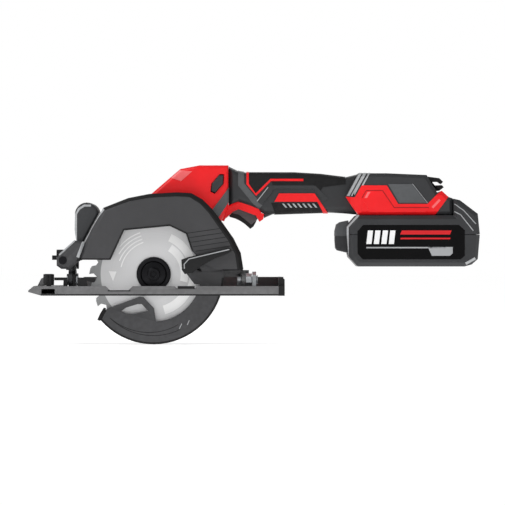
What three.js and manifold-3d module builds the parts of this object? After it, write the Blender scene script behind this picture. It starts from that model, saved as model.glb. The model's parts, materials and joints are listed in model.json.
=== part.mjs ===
// A cordless circular saw with a 4 1/2 inch blade, in millimetres.
// +X points back to the battery, -Y to the blade's side and +Z up. The origin is on the sole's
// underside, straight below the arbor, on the middle plane of the handle.
import * as THREE from "three";
import { mergeVertices } from "three/addons/utils/BufferGeometryUtils.js";
import Module from "manifold-3d";

const wasm = await Module();
wasm.setup();

// ---- driving dimensions ----
const GAP = 0.3; // between touching pieces
const WALL = 2.5; // plastic and cast walls

// Blade and arbor: blade plane, height of the arbor above the sole at full depth
const BLADE = { radius: 57.15, thickness: 1.6, y: -35, teeth: 24, gullet: 7, bore: 5 };
const ARBOR_Z = 18.8;

// Gears: module, tooth counts, and the motor axis seen from the arbor
const GEAR = { module: 0.8, wheelTeeth: 32, pinionTeeth: 8, y0: -21, y1: -14 };
const GEAR_CENTRES = (GEAR.module * (GEAR.wheelTeeth + GEAR.pinionTeeth)) / 2;
const MOTOR_DIRECTION = degrees(70);
const MOTOR_X = GEAR_CENTRES * Math.cos(MOTOR_DIRECTION);
const MOTOR_Z = ARBOR_Z + GEAR_CENTRES * Math.sin(MOTOR_DIRECTION);
const MOTOR = { case: 27, stator: 22, bore: 13.4, rotor: 12.8, y0: -7.7, y1: 47 };

// Sole plate: length, width, plate thickness and rim heights
const SOLE = { front: -110.4, rear: 115.5, near: -54.5, far: 66, plate: 2.6, rim: 8.3, rearRim: 16 };
const SLOT = { front: -66, rear: 68, near: -50, far: -6.5 };
const FENCE_SLOT = { front: -98.5, rear: -86.6, far: 48, bottom: 1.4, top: 5.8 };

// Hinges: the bevel axis runs along X, the depth axis along Y
const BEVEL = { y: BLADE.y, z: 14, bolt: 22, restAngle: degrees(38) };
const DEPTH = { x: -80, z: 31, clamp: 116 };

// Guards, measured from the arbor and from the blade plane
const LOWER_GUARD = { outer: 61.9, inner: 41.9, half: 6.5, wall: 1.6, front: -139, rear: 3 };
const UPPER_GUARD = { near: -46, nearInner: -44, farInner: -27, far: -24.5 };
const SPINDLE_LOCK = { y: -17.5, pin: 1.4, head: 4.4 };
const HUB = 13; // the gear housing's nose, on which the lower guard turns

// Handle, adapter and battery: half widths
const HANDLE_HALF = 18;
const HANDLE_END = 181; // where the grip ends, inside the adapter
const COVER_NEAR = UPPER_GUARD.far + GAP; // the motor cover's face against the guard
const ADAPTER_HALF = 34;
const BATTERY_HALF = 38;
const CELL = { radius: 9.1, length: 65, pitch: 18.9, count: 5, x: 187.4, z: 40 };
const SEAM_Z = 53.9; // where the battery's two shells meet

// ---- materials ----
function material(color, roughness, metalness = 0) {
  return new THREE.MeshStandardMaterial({ color, roughness, metalness });
}
const FINISH = {
  casting: material(0x4b4b4c, 0.55, 0.3),
  base: material(0x6f7072, 0.5, 0.5),
  grayPlastic: material(0x47484a, 0.6),
  redPlastic: material(0xd9272c, 0.4),
  rubber: material(0x1d1d1f, 0.85),
  blackPlastic: material(0x222224, 0.5),
  steel: material(0xb9bcc0, 0.3, 0.9),
  darkSteel: material(0x2c2c2e, 0.4, 0.8),
  blade: material(0xc4c6c8, 0.35, 0.8),
  copper: material(0xb06a3a, 0.4, 0.8),
  board: material(0x1f4a33, 0.6),
  cellWrap: material(0x3f6f9a, 0.5),
};

const saw = new THREE.Group();

// ---- shapes ----
function degrees(angle) {
  return (angle * Math.PI) / 180;
}

// Points on an arc about (a, b), angles in degrees.
function arc(a, b, radius, from, to, steps) {
  return Array.from({ length: steps + 1 }, (_, i) => {
    const angle = degrees(from + ((to - from) * i) / steps);
    return [a + radius * Math.cos(angle), b + radius * Math.sin(angle)];
  });
}

function toSolid(geometry) {
  const bare = geometry.index ? geometry.toNonIndexed() : geometry;
  bare.deleteAttribute("normal");
  bare.deleteAttribute("uv");
  const merged = mergeVertices(bare, 1e-3);
  return new wasm.Manifold(
    new wasm.Mesh({
      numProp: 3,
      vertProperties: new Float32Array(merged.attributes.position.array),
      triVerts: new Uint32Array(merged.index.array),
    }),
  );
}

function join(first, ...others) {
  return others.reduce((whole, other) => whole.add(other), first);
}

function cut(body, ...tools) {
  return tools.reduce((rest, tool) => rest.subtract(tool), body);
}

// An outline pushed out by `depth`, with its edges rounded by `round`, or chamfered in one step.
function extrude(points, depth, round, steps = round > 3 ? 4 : 2) {
  const shape = new THREE.Shape(points.map(([a, b]) => new THREE.Vector2(a, b)));
  const geometry = new THREE.ExtrudeGeometry(shape, {
    depth: depth - 2 * round,
    steps: 1,
    bevelEnabled: round > 0,
    bevelThickness: round,
    bevelSize: round,
    bevelOffset: -round,
    bevelSegments: steps,
  });
  return geometry.translate(0, 0, round);
}

// An outline in (x, z), pushed from y0 to y1.
function plateY(points, y0, y1, round = 0, steps = undefined) {
  const geometry = extrude(points, y1 - y0, round, steps);
  return toSolid(geometry.rotateX(Math.PI / 2).translate(0, y1, 0));
}

// The same with flat chamfers in place of rounded edges.
function chamferedY(points, y0, y1, chamfer) {
  return plateY(points, y0, y1, chamfer, 1);
}

// An outline in (y, z), pushed from x0 to x1.
function plateX(points, x0, x1, round = 0) {
  const turn = new THREE.Matrix4().makeBasis(
    new THREE.Vector3(0, 1, 0),
    new THREE.Vector3(0, 0, 1),
    new THREE.Vector3(1, 0, 0),
  );
  return toSolid(extrude(points, x1 - x0, round).applyMatrix4(turn).translate(x0, 0, 0));
}

// An outline in (x, y), pushed from z0 to z1.
function plateZ(points, z0, z1, round = 0) {
  return toSolid(extrude(points, z1 - z0, round).translate(0, 0, z0));
}

function box(x0, x1, y0, y1, z0, z1) {
  const geometry = new THREE.BoxGeometry(x1 - x0, y1 - y0, z1 - z0);
  return toSolid(geometry.translate((x0 + x1) / 2, (y0 + y1) / 2, (z0 + z1) / 2));
}

function rodY(x, z, radius, y0, y1, sides = 24) {
  const geometry = new THREE.CylinderGeometry(radius, radius, y1 - y0, sides);
  return toSolid(geometry.translate(x, (y0 + y1) / 2, z));
}

function rodX(y, z, radius, x0, x1, sides = 20) {
  const geometry = new THREE.CylinderGeometry(radius, radius, x1 - x0, sides);
  return toSolid(geometry.rotateZ(Math.PI / 2).translate((x0 + x1) / 2, y, z));
}

function rodZ(x, y, radius, z0, z1, sides = 20) {
  const geometry = new THREE.CylinderGeometry(radius, radius, z1 - z0, sides);
  return toSolid(geometry.rotateX(Math.PI / 2).translate(x, y, (z0 + z1) / 2));
}

// A profile of (radius, y) points turned about the line along Y through (x, z).
function turnedY(profile, x, z, sides = 32) {
  const points = profile.map(([radius, y]) => new THREE.Vector2(radius, y));
  return toSolid(new THREE.LatheGeometry(points, sides).translate(x, 0, z));
}

// A ring about a line along Y.
function ringY(x, z, outer, inner, y0, y1, sides = 32) {
  const profile = [[inner, y0], [outer, y0], [outer, y1], [inner, y1], [inner, y0]];
  return turnedY(profile, x, z, sides);
}

function part(name, solid, finish) {
  const { numProp, vertProperties, triVerts } = solid.getMesh();
  const positions = new Float32Array((vertProperties.length / numProp) * 3);
  for (let i = 0; i < positions.length / 3; i += 1) {
    positions.set(vertProperties.subarray(i * numProp, i * numProp + 3), i * 3);
  }
  const geometry = new THREE.BufferGeometry();
  geometry.setAttribute("position", new THREE.BufferAttribute(positions, 3));
  geometry.setIndex(new THREE.BufferAttribute(triVerts, 1));
  geometry.computeVertexNormals();
  const mesh = new THREE.Mesh(geometry, finish);
  mesh.name = name;
  saw.add(mesh);
}

// ---- base ----
// The sole seen from above: square at the back, with its front corners taken off.
function soleOutline() {
  const corner = 7;
  return [
    [SOLE.front + corner, SOLE.near],
    [SOLE.rear, SOLE.near],
    [SOLE.rear, SOLE.far],
    [SOLE.front + corner, SOLE.far],
    [SOLE.front, SOLE.far - corner],
    [SOLE.front, SOLE.near + corner],
  ];
}

// The upturned nose seen from the side, from its toe up and over to (-98, rim).
const NOSE = [
  [-98.7, 0],
  [SOLE.front, 3],
  [SOLE.front, 4.4],
  [-105.5, SOLE.rim],
];

// The near rim seen from the side, with one long notch by the blade's front and a shallow one
// under the guard's lever.
function nearRimOutline() {
  return [
    [SOLE.rear, 0],
    [SOLE.rear, SOLE.rim],
    [39.4, SOLE.rim],
    [37, 6.3],
    [20.5, 6.3],
    [19, SOLE.rim],
    [-18, SOLE.rim],
    [-22, 4.6],
    [-38, 4.6],
    [-42, SOLE.rim],
    ...NOSE.slice().reverse(),
  ];
}

function basePlate() {
  const rimWidth = 1.8;
  const nose = plateY([...NOSE, [-84, SOLE.rim], [-84, 0]], SOLE.near + 1, SOLE.far);
  const fenceBoss = plateY([[-103, 8], [-99.6, 14.8], [-97.6, 15.8], [-97.6, 8]], -36, -12);
  const leverStop = box(21.5, 36.4, SOLE.near, SOLE.near + 0.8, 5, SOLE.rim);
  const farRim = box(SLOT.front, SOLE.rear, SOLE.far - 2.2, SOLE.far, 0, SOLE.rearRim - 0.2);
  const rearRim = plateY(
    [
      [SOLE.rear - 7, 0],
      [SOLE.rear - 1.5, 0],
      [SOLE.rear, 2],
      [SOLE.rear, SOLE.rearRim - 2],
      [SOLE.rear - 2, SOLE.rearRim],
      [SOLE.rear - 5, SOLE.rearRim],
      [SOLE.rear - 5, SOLE.plate + 2],
      [SOLE.rear - 7, SOLE.plate],
    ],
    SOLE.near + 4,
    SOLE.far,
  );
  const slot = box(SLOT.front, SLOT.rear, SLOT.near, SLOT.far, -1, SOLE.plate + 1);
  const fence = box(
    FENCE_SLOT.front, FENCE_SLOT.rear, SOLE.near - 1, FENCE_SLOT.far, FENCE_SLOT.bottom, FENCE_SLOT.top,
  );
  const toe = plateY([[SOLE.front - 1, -1], [-98.7, -1], NOSE[0], NOSE[1], [SOLE.front - 1, 3]], -90, 90);
  const screwHole = rodZ((FENCE_SLOT.front + FENCE_SLOT.rear) / 2, -42, 2.6, FENCE_SLOT.bottom, 12);
  const body = join(
    plateZ(soleOutline(), 0, SOLE.plate),
    plateY(nearRimOutline(), SOLE.near, SOLE.near + rimWidth),
    fenceBoss,
    leverStop,
    farRim,
    rearRim,
  );
  return cut(join(body, nose).intersect(plateZ(soleOutline(), -1, 30)), toe, slot, fence, screwHole);
}

// A ring sector in (y, z) about the bevel axis.
function bevelSector(inner, outer, from, to) {
  const steps = 10;
  return [
    ...arc(BEVEL.y, BEVEL.z, outer, from, to, steps),
    ...arc(BEVEL.y, BEVEL.z, inner, to, from, steps),
  ];
}

// An upright quadrant that guides the bevel clamp bolt, in a slot open at its upper end. Its foot
// also carries a low stop in front and the cutting sight beside the blade.
function frontBevelQuadrant() {
  const x0 = -71.2;
  const x1 = -69;
  const footFront = -80;
  const footBack = -66.7;
  const foot = SOLE.plate + GAP;
  const sightNear = SOLE.near + 2.2;
  const stopNear = -44.9;
  const outer = BEVEL.bolt + 3.7;
  const plate = join(
    plateX(arc(BEVEL.y, BEVEL.z, 8, 0, 360, 24).slice(1), x0, x1),
    plateX([[BEVEL.y, BEVEL.z], ...arc(BEVEL.y, BEVEL.z, outer, 26, 94, 12)], x0, x1),
    plateX([[-44, foot], [-10, foot], [-12, 22], [-43, BEVEL.z + 4]], x0, x1),
    box(footFront, footBack, sightNear, -10, foot, foot + 2),
  );
  const stop = plateY(
    [[-87.5, 13.3], [-79.4, 13.3], [-80, foot], [-75.5, foot], [-76, 13.3], [-76, 15.9], [-87.5, 15.9]],
    stopNear,
    stopNear + 2.4,
  );
  const sight = plateY(
    [
      [footBack - 0.1, foot], [-56.6, foot], [-58.6, 13], [-54.6, 11.6], ...arc(-53, 13.6, 2.2, -70, 90, 6),
      [footBack - 0.1, 15.9],
    ],
    sightNear,
    sightNear + 2.2,
  );
  const slot = plateX(bevelSector(BEVEL.bolt - 2.5, BEVEL.bolt + 2.5, 32, 98), x0 - 1, x1 + 1);
  return cut(join(plate, stop, sight), slot, rodX(BEVEL.y, BEVEL.z, 3.2, x0 - 1, x1 + 1));
}

// The lug at the back of the sole that the rear bevel bolt turns in.
function rearBevelBracket() {
  const x0 = 87.2;
  const thickness = 3.4;
  const foot = SOLE.plate + GAP;
  const lug = join(
    plateX([[-46, foot], [-14, foot], [-26, 18], [-31, 21], [-39, 21], [-44, 18]], x0, x0 + thickness),
    box(x0, x0 + 12, -46, -14, foot, foot + 2.2),
  );
  return cut(lug, rodX(BEVEL.y, BEVEL.z, 3.2, x0 - 1, x0 + thickness + 1));
}

function fenceScrewShape() {
  const x = (FENCE_SLOT.front + FENCE_SLOT.rear) / 2;
  const y = -42;
  const lobes = 6;
  const knob = Array.from({ length: lobes }, (_, i) => {
    const angle = (2 * Math.PI * i) / lobes;
    return rodZ(x + 3 * Math.cos(angle), y + 3 * Math.sin(angle), 1.8, 10.9, 18.7, 12);
  });
  return join(
    rodZ(x, y, 2.2, FENCE_SLOT.top + GAP, 12),
    rodZ(x, y, 3.8, 10.9, 19),
    rodZ(x, y, 4.7, 9, 11),
    ...knob,
  );
}

// The bolt that the front bracket tilts on, with a low head in front and a thin nut behind.
function frontPivotBolt() {
  return join(
    rodX(BEVEL.y, BEVEL.z, 2.9, -76, -66.8, 16),
    rodX(BEVEL.y, BEVEL.z, 5, -76.8, -75.5, 24),
    rodX(BEVEL.y, BEVEL.z, 5.5, -68.7, -66.6, 6),
  );
}

// The rear bolt has its nut between the two brackets.
function rearPivotBolt() {
  return join(
    rodX(BEVEL.y, BEVEL.z, 2.9, 75, 91.2, 16),
    rodX(BEVEL.y, BEVEL.z, 5.5, 81.3, 86.8, 6),
    rodX(BEVEL.y, BEVEL.z, 5, 74, 77.4, 24),
    rodX(BEVEL.y, BEVEL.z, 4, 90.9, 92, 24),
  );
}

part("base_plate", basePlate(), FINISH.base);
part("front_bevel_quadrant", frontBevelQuadrant(), FINISH.base);
part("rear_bevel_bracket", rearBevelBracket(), FINISH.steel);
part("fence_screw", fenceScrewShape(), FINISH.blackPlastic);
part("front_pivot_bolt", frontPivotBolt(), FINISH.steel);
part("rear_pivot_bolt", rearPivotBolt(), FINISH.steel);

// ---- tilting frame ----
// The bracket that hangs on the bevel axis at the front and carries the knuckle of the depth pivot.
function frontTiltBracket() {
  const x0 = -75.2;
  const x1 = -71.6;
  const knuckle = { y0: -38.4, y1: -28.4 };
  const plate = join(
    plateX(arc(BEVEL.y, BEVEL.z, 8, 0, 360, 24).slice(1), x0, x1),
    plateX([[-42, BEVEL.z], [-26, BEVEL.z], [knuckle.y1, 35], [knuckle.y0, 35], [knuckle.y0, 22]], x0, x1),
    plateX(bevelSector(4, BEVEL.bolt + 5, 24, 54), x0, x1),
    rodY(DEPTH.x, DEPTH.z, 4.7, knuckle.y0, knuckle.y1),
    box(DEPTH.x, x1, knuckle.y0, knuckle.y1, DEPTH.z - 4.2, DEPTH.z + 4.2),
  );
  const boltY = BEVEL.y + BEVEL.bolt * Math.cos(BEVEL.restAngle);
  const boltZ = BEVEL.z + BEVEL.bolt * Math.sin(BEVEL.restAngle);
  return cut(
    plate,
    rodX(BEVEL.y, BEVEL.z, 3.2, x0 - 1, x1 + 1),
    rodX(boltY, boltZ, 2.5, x0 - 1, x1 + 1),
    rodY(DEPTH.x, DEPTH.z, 2.8, knuckle.y0 - 1, knuckle.y1 + 1),
  );
}

// The bracket at the back, with an arm forward to the foot of the depth guide.
function rearTiltBracket() {
  const x1 = 80.9;
  const x0 = x1 - 3.1;
  const plate = join(
    plateX(arc(BEVEL.y, BEVEL.z, 7.2, 0, 360, 24).slice(1), x0, x1),
    plateX([[-40, 16], [-16, 16], [-16, 22.3], [-23.6, 22.3], [-24, 21.2], [-38, 21.2]], x0, x1),
    box(31, 84.2, -19.6, -16, 16.2, 22.3),
  );
  return cut(plate, rodX(BEVEL.y, BEVEL.z, 3.2, x0 - 1, x1 + 1));
}

// A slotted plate bent round the depth pivot, which the depth clamp slides on.
function depthGuide() {
  const y0 = -22.6;
  const y1 = -20;
  const half = 4.5;
  const steps = 12;
  const plate = plateY(
    [
      ...arc(DEPTH.x, DEPTH.z, DEPTH.clamp + half, -8, 28, steps),
      ...arc(DEPTH.x, DEPTH.z, DEPTH.clamp - half, 30, -8, steps),
    ],
    y0,
    y1,
  );
  const slot = plateY(
    [
      ...arc(DEPTH.x, DEPTH.z, DEPTH.clamp + 2.4, -1.6, 28.8, steps),
      ...arc(DEPTH.x, DEPTH.z, DEPTH.clamp - 2.4, 28.8, -1.6, steps),
    ],
    y0 - 1,
    y1 + 1,
  );
  return cut(plate, slot);
}

// The clamp bolt through the quadrant, with a thin nut behind, and in front a hub, an upright
// wing for the thumb and a short tab.
function bevelKnob() {
  const y = BEVEL.y + BEVEL.bolt * Math.cos(BEVEL.restAngle);
  const z = BEVEL.z + BEVEL.bolt * Math.sin(BEVEL.restAngle);
  const rear = -75.5;
  const wing = { front: -86.7, low: 6, high: 10 };
  return join(
    rodX(y, z, 2.2, -78, -67.6, 16),
    rodX(y, z, 4.2, -68.7, -66.9, 6),
    rodX(y, z, 5.2, -78.2, rear, 20),
    plateX([[y - 3, z], [y + 3, z], [y + 3, z + 9], [y - 3, z + 9]], -78.1, rear),
    plateX(
      [[y - 3, z + wing.low], [y + 3, z + wing.low], ...arc(y, z + wing.high, 3, 0, 180, 8)],
      wing.front,
      -78,
    ),
    box(-90.6, wing.front + 0.1, y - 3, y + 3, z + 3.8, z + 7.8),
  );
}

function depthPivotPin() {
  return join(
    rodY(DEPTH.x, DEPTH.z, 2.5, -46.4, -27.9, 16),
    rodY(DEPTH.x, DEPTH.z, 3.6, -46.8, -46.3, 20),
    rodY(DEPTH.x, DEPTH.z, 3.8, -28.1, -26.8, 20),
  );
}

part("front_tilt_bracket", frontTiltBracket(), FINISH.base);
part("rear_tilt_bracket", rearTiltBracket(), FINISH.base);
part("depth_guide", depthGuide(), FINISH.steel);
part("bevel_knob", bevelKnob(), FINISH.blackPlastic);
part("depth_pivot_pin", depthPivotPin(), FINISH.darkSteel);

// ---- saw head: guard and gears ----
// The upper guard's outer edge seen from the side, from its front foot over to its rear foot.
const GUARD_EDGE = [
  [-66.4, 31.7],
  [-59.2, 50.2],
  [-50.7, 65.8],
  [-44.3, 77],
  [-22.2, 85.7],
  [-3.8, 89.3],
  [20.5, 90.7],
  [33.3, 90],
  [43.2, 84.4],
  [51.8, 75.8],
  [60.4, 64.4],
  [70.4, 50.2],
  [76.7, 37.4],
  [78.9, 23.1],
];

// The window round the flange in the guard's near face, open at the bottom.
const GUARD_WINDOW = [
  [54, 23.1],
  [44, 29],
  [34, 39],
  [28.8, 54.5],
  [14.4, 61.4],
  [-26, 57.6],
  [-37.9, 31.7],
];

const EDGE_CHAMFER = 3.2;

// The guard's edge drawn in towards the arbor by about `depth`.
function guardEdgeInside(depth) {
  const meanRadius = 69;
  const scale = 1 - depth / meanRadius;
  return GUARD_EDGE.map(([x, z]) => [x * scale, ARBOR_Z + (z - ARBOR_Z) * scale]);
}

function upperGuard() {
  const { near, nearInner, farInner, far } = UPPER_GUARD;
  const face = [...GUARD_EDGE, ...GUARD_WINDOW];
  const rim = [...GUARD_EDGE, ...guardEdgeInside(WALL).reverse()];
  const backEdge = 21.8;
  const back = [
    ...GUARD_EDGE,
    [78.9, backEdge],
    [22, backEdge],
    ...arc(0, ARBOR_Z, 15.2, 0, -180, 12),
    [-22, 31.7],
  ];
  const pivotArm = [
    [-61, 47],
    [-69.8, 48.6],
    [-83, 36.6],
    [-85.5, 33],
    [-85.5, 26.4],
    [-81.4, 23.4],
    [-74, 23.4],
    [-63.8, 31.8],
  ];
  const outerEdge = [...GUARD_EDGE, [78.9, 0], [-78, 0]];
  const shell = join(
    plateY(face, near, nearInner),
    plateY(rim, near, far),
    plateY(back, farInner, far),
  ).intersect(chamferedY(outerEdge, near, far + 10, EDGE_CHAMFER));
  const body = join(shell, chamferedY(pivotArm, near, near + 7, 2));
  const springPocket = rodY(0, ARBOR_Z, 19, farInner - 1, far - 1.2, 32);
  const noseHole = rodY(0, ARBOR_Z, HUB + GAP, farInner - 1, far + 1, 32);
  const pivotHole = rodY(DEPTH.x, DEPTH.z, 2.8, near - 1, near + 8);
  return cut(body, springPocket, noseHole, pivotHole);
}

// The outline that holds both gears: a circle about the arbor and a larger one about the motor.
function gearCaseOutline(arborRadius, motorRadius) {
  const side = 70;
  return [
    ...arc(0, ARBOR_Z, arborRadius, 180 + side - 70, 360 - side + 70, 12),
    ...arc(MOTOR_X, MOTOR_Z, motorRadius, -20, 200, 20),
  ];
}

function gearHousing() {
  const y0 = UPPER_GUARD.far + GAP;
  const y1 = -13;
  const shell = join(
    plateY(gearCaseOutline(15.3, 24), y0, y1),
    rodY(0, ARBOR_Z, HUB, -31, y0 + 0.1, 32),
  );
  const chamber = plateY(gearCaseOutline(13.9, 21.5), y0 + 2, y1 + 1);
  const bearingSeat = rodY(0, ARBOR_Z, 11, -30, y0 + 2.5, 32);
  const lip = rodY(0, ARBOR_Z, 8, -32, -29, 32);
  const lockHole = rodX(SPINDLE_LOCK.y, ARBOR_Z, SPINDLE_LOCK.pin + GAP, -20, -12, 12);
  return cut(shell, chamber, bearingSeat, lip, lockHole);
}

function gearCover() {
  const y0 = -13 + GAP;
  const y1 = -8.3;
  return cut(
    plateY(gearCaseOutline(15.3, 24), y0, y1),
    rodY(0, ARBOR_Z, 8.3, y0 - 1, y1 - 0.8, 24),
    rodY(MOTOR_X, MOTOR_Z, 7.3, y0 - 1, y1 + 1, 24),
  );
}

// Spur gear teeth with a little play, so that the pair runs freely.
function gearShape(teeth, phase, boreRadius, x, z) {
  const pitchRadius = (GEAR.module * teeth) / 2;
  const tip = pitchRadius + 0.8 * GEAR.module;
  const root = pitchRadius - 1.1 * GEAR.module;
  const pitch = (2 * Math.PI) / teeth;
  const corners = [[root, -0.2], [tip, -0.09], [tip, 0.09], [root, 0.2]];
  const points = Array.from({ length: teeth }, (_, i) =>
    corners.map(([radius, share]) => {
      const angle = phase + (i + share) * pitch;
      return [x + radius * Math.cos(angle), z + radius * Math.sin(angle)];
    }),
  ).flat();
  const wheel = plateY(points, GEAR.y0, GEAR.y1);
  return cut(wheel, rodY(x, z, boreRadius, GEAR.y0 - 1, GEAR.y1 + 1, 20));
}

// A ball bearing, drawn as one ring with a groove between its races on the open side.
function bearing(x, z, outer, inner, y0, y1) {
  const middle = (outer + inner) / 2;
  const groove = 0.7;
  return turnedY(
    [
      [inner, y0], [middle - 1, y0], [middle - 1, y0 + groove], [middle + 1, y0 + groove],
      [middle + 1, y0], [outer, y0], [outer, y1], [inner, y1], [inner, y0],
    ],
    x,
    z,
    14,
  );
}

// The wound spring round the gear housing's nose that shuts the lower guard.
function guardSpring() {
  const turns = 2.5;
  const radius = 15.6;
  const pitch = 0.65;
  const start = -27.9;
  class Helix extends THREE.Curve {
    getPoint(t) {
      const angle = 2 * Math.PI * turns * t;
      const reach = radius + 1.2 * t;
      return new THREE.Vector3(
        reach * Math.cos(angle),
        start + pitch * turns * t,
        ARBOR_Z + reach * Math.sin(angle),
      );
    }
  }
  const wire = new THREE.Shape(arc(0, 0, 0.4, 0, 300, 5).map(([a, b]) => new THREE.Vector2(a, b)));
  return toSolid(new THREE.ExtrudeGeometry(wire, { steps: 40, extrudePath: new Helix() }));
}

part("upper_guard", upperGuard(), FINISH.casting);
part("gear_housing", gearHousing(), FINISH.casting);
part("gear_cover", gearCover(), FINISH.casting);
part("guard_spring", guardSpring(), FINISH.steel);

// ---- blade and drive ----
// A thin-kerf blade: each tooth has a steep face, a short back and a round gullet in front.
function sawBlade() {
  const { radius, thickness, y, teeth, gullet, bore } = BLADE;
  const pitch = 360 / teeth;
  const points = Array.from({ length: teeth }, (_, i) => {
    const at = i * pitch;
    const tooth = [
      [radius, 0],
      [radius - gullet * 0.55, -0.6],
      [radius - gullet, 3],
      [radius - gullet * 0.8, 6.3],
      [radius - gullet * 0.3, 7.6],
      [radius - 0.9, 10],
    ];
    return tooth.map(([r, turn]) => {
      const angle = degrees(at + turn);
      return [r * Math.cos(angle), ARBOR_Z + r * Math.sin(angle)];
    });
  }).flat();
  const disc = plateY(points, y - thickness / 2, y + thickness / 2);
  return cut(disc, rodY(0, ARBOR_Z, bore, y - 2, y + 2, 24));
}

function arborShaft() {
  const noseRadius = BLADE.bore - 0.2;
  return turnedY(
    [
      [0, -36.9], [noseRadius, -36.9], [noseRadius, -31], [5.6, -31], [5.6, -30.4], [5.3, -30.4],
      [5.3, -9.6], [0, -9.6],
    ],
    0,
    ARBOR_Z,
    16,
  );
}

function innerFlange() {
  const face = BLADE.y + BLADE.thickness / 2 + GAP;
  return turnedY(
    [[5.2, face], [15, face], [15, face + 1.2], [12, face + 2.4], [5.2, face + 2.4], [5.2, face]],
    0,
    ARBOR_Z,
    24,
  );
}

function outerFlange() {
  const face = BLADE.y - BLADE.thickness / 2 - GAP;
  return turnedY(
    [
      [5.2, face], [5.2, face - 1.4], [11, face - 1.4], [11.6, face - 2.4], [14.4, face - 2.4],
      [15.2, face - 1.6], [15.2, face], [5.2, face],
    ],
    0,
    ARBOR_Z,
    32,
  );
}

function bladeBolt() {
  const head = turnedY(
    [
      [0, -42.4], [5, -42.4], [5.8, -41.6], [5.8, -39.9], [10.4, -39.4], [10.4, -37.9], [5, -37.8],
      [5, -37.2], [0, -37.2],
    ],
    0,
    ARBOR_Z,
    32,
  );
  return cut(head, rodY(0, ARBOR_Z, 2.9, -43, -39.6, 6));
}

const WHEEL_PHASE = MOTOR_DIRECTION;
const PINION_PHASE = MOTOR_DIRECTION + Math.PI + Math.PI / GEAR.pinionTeeth;

part("saw_blade", sawBlade(), FINISH.blade);
part("inner_flange", innerFlange(), FINISH.darkSteel);
part("outer_flange", outerFlange(), FINISH.darkSteel);
part("blade_bolt", bladeBolt(), FINISH.darkSteel);
part("arbor_shaft", arborShaft(), FINISH.steel);
part("arbor_gear", gearShape(GEAR.wheelTeeth, WHEEL_PHASE, 5.6, 0, ARBOR_Z), FINISH.steel);
part("arbor_bearing_front", bearing(0, ARBOR_Z, 10.7, 5.6, -28.8, -24), FINISH.steel);
part("arbor_bearing_rear", bearing(0, ARBOR_Z, 8, 5.6, -12.6, -9.6), FINISH.steel);
part("motor_pinion", gearShape(GEAR.pinionTeeth, PINION_PHASE, 1.6, MOTOR_X, MOTOR_Z), FINISH.steel);

// ---- motor ----
function motorCase() {
  const tube = ringY(MOTOR_X, MOTOR_Z, MOTOR.case, MOTOR.case - WALL, MOTOR.y0, MOTOR.y1, 32);
  const front = ringY(MOTOR_X, MOTOR_Z, MOTOR.case - 1, 10, MOTOR.y0, MOTOR.y0 + 2, 32);
  const vents = Array.from({ length: 9 }, (_, i) => {
    const angle = degrees(-70 + i * 16);
    const length = 8;
    const slot = new THREE.BoxGeometry(length, 9, 2.4);
    slot.rotateY(-angle);
    slot.translate(
      MOTOR_X + MOTOR.case * Math.cos(angle), 38, MOTOR_Z + MOTOR.case * Math.sin(angle),
    );
    return toSolid(slot);
  });
  return cut(join(tube, front), ...vents);
}

function motorEndCap() {
  const y0 = MOTOR.y1 + GAP;
  const { case: radius } = MOTOR;
  const shell = turnedY(
    [
      [radius - WALL, y0], [radius, y0], [radius, y0 + 4], [radius - 1.6, y0 + 8],
      [radius - 6, y0 + 10], [0, y0 + 10], [0, y0 + 7.5], [radius - 6.5, y0 + 7.5],
      [radius - WALL, y0 + 4], [radius - WALL, y0],
    ],
    MOTOR_X,
    MOTOR_Z,
    32,
  );
  const slots = Array.from({ length: 7 }, (_, i) => {
    const z = MOTOR_Z - 15 + i * 5;
    const half = Math.sqrt(19 ** 2 - (z - MOTOR_Z) ** 2);
    return box(MOTOR_X - half, MOTOR_X + half, y0 + 5, y0 + 12, z - 1.2, z + 1.2);
  }).filter((_, i) => i !== 3);
  const seat = ringY(MOTOR_X, MOTOR_Z, 9.5, 7.3, y0 + 1, y0 + 7.6, 24);
  return join(cut(shell, ...slots), seat);
}

const POLES = 6;

function stator() {
  const core = ringY(MOTOR_X, MOTOR_Z, MOTOR.stator, MOTOR.stator - 4, 2, 26, 24);
  const teeth = Array.from({ length: POLES }, (_, i) => {
    const angle = (2 * Math.PI * i) / POLES;
    const tooth = new THREE.BoxGeometry(5, 24, 4);
    tooth.translate(MOTOR.bore + 2.8, 14, 0).rotateY(-angle);
    return toSolid(tooth.translate(MOTOR_X, 0, MOTOR_Z));
  });
  return join(core, ...teeth);
}

// The ring of coil ends on one side of the stator.
function coilEnds(y0, y1) {
  const middle = (y0 + y1) / 2;
  return turnedY(
    [
      [MOTOR.bore + 1.4, y0 + 1], [MOTOR.bore + 3, y0], [MOTOR.stator - 4.6, y0],
      [MOTOR.stator - 3.2, middle], [MOTOR.stator - 4.6, y1], [MOTOR.bore + 3, y1],
      [MOTOR.bore + 1.4, y1 - 1], [MOTOR.bore + 1.4, y0 + 1],
    ],
    MOTOR_X,
    MOTOR_Z,
    18,
  );
}

// Coil ends on both sides, joined by the coils that lie between the stator's teeth.
function windings() {
  const coils = Array.from({ length: POLES }, (_, i) => {
    const angle = (2 * Math.PI * (i + 0.5)) / POLES;
    const coil = new THREE.BoxGeometry(2, 34, 6);
    coil.translate(MOTOR.bore + 2.7, 14, 0).rotateY(-angle);
    return toSolid(coil.translate(MOTOR_X, 0, MOTOR_Z));
  });
  return join(coilEnds(-5, 1.7), coilEnds(26.3, 32), ...coils);
}

function rotorShaft() {
  return turnedY(
    [
      [0, -21.5], [1.3, -21.5], [1.3, -13.8], [3.2, -13.8], [3.2, 30], [3, 30], [3, 54], [0, 54],
    ],
    MOTOR_X,
    MOTOR_Z,
    16,
  );
}

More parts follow.
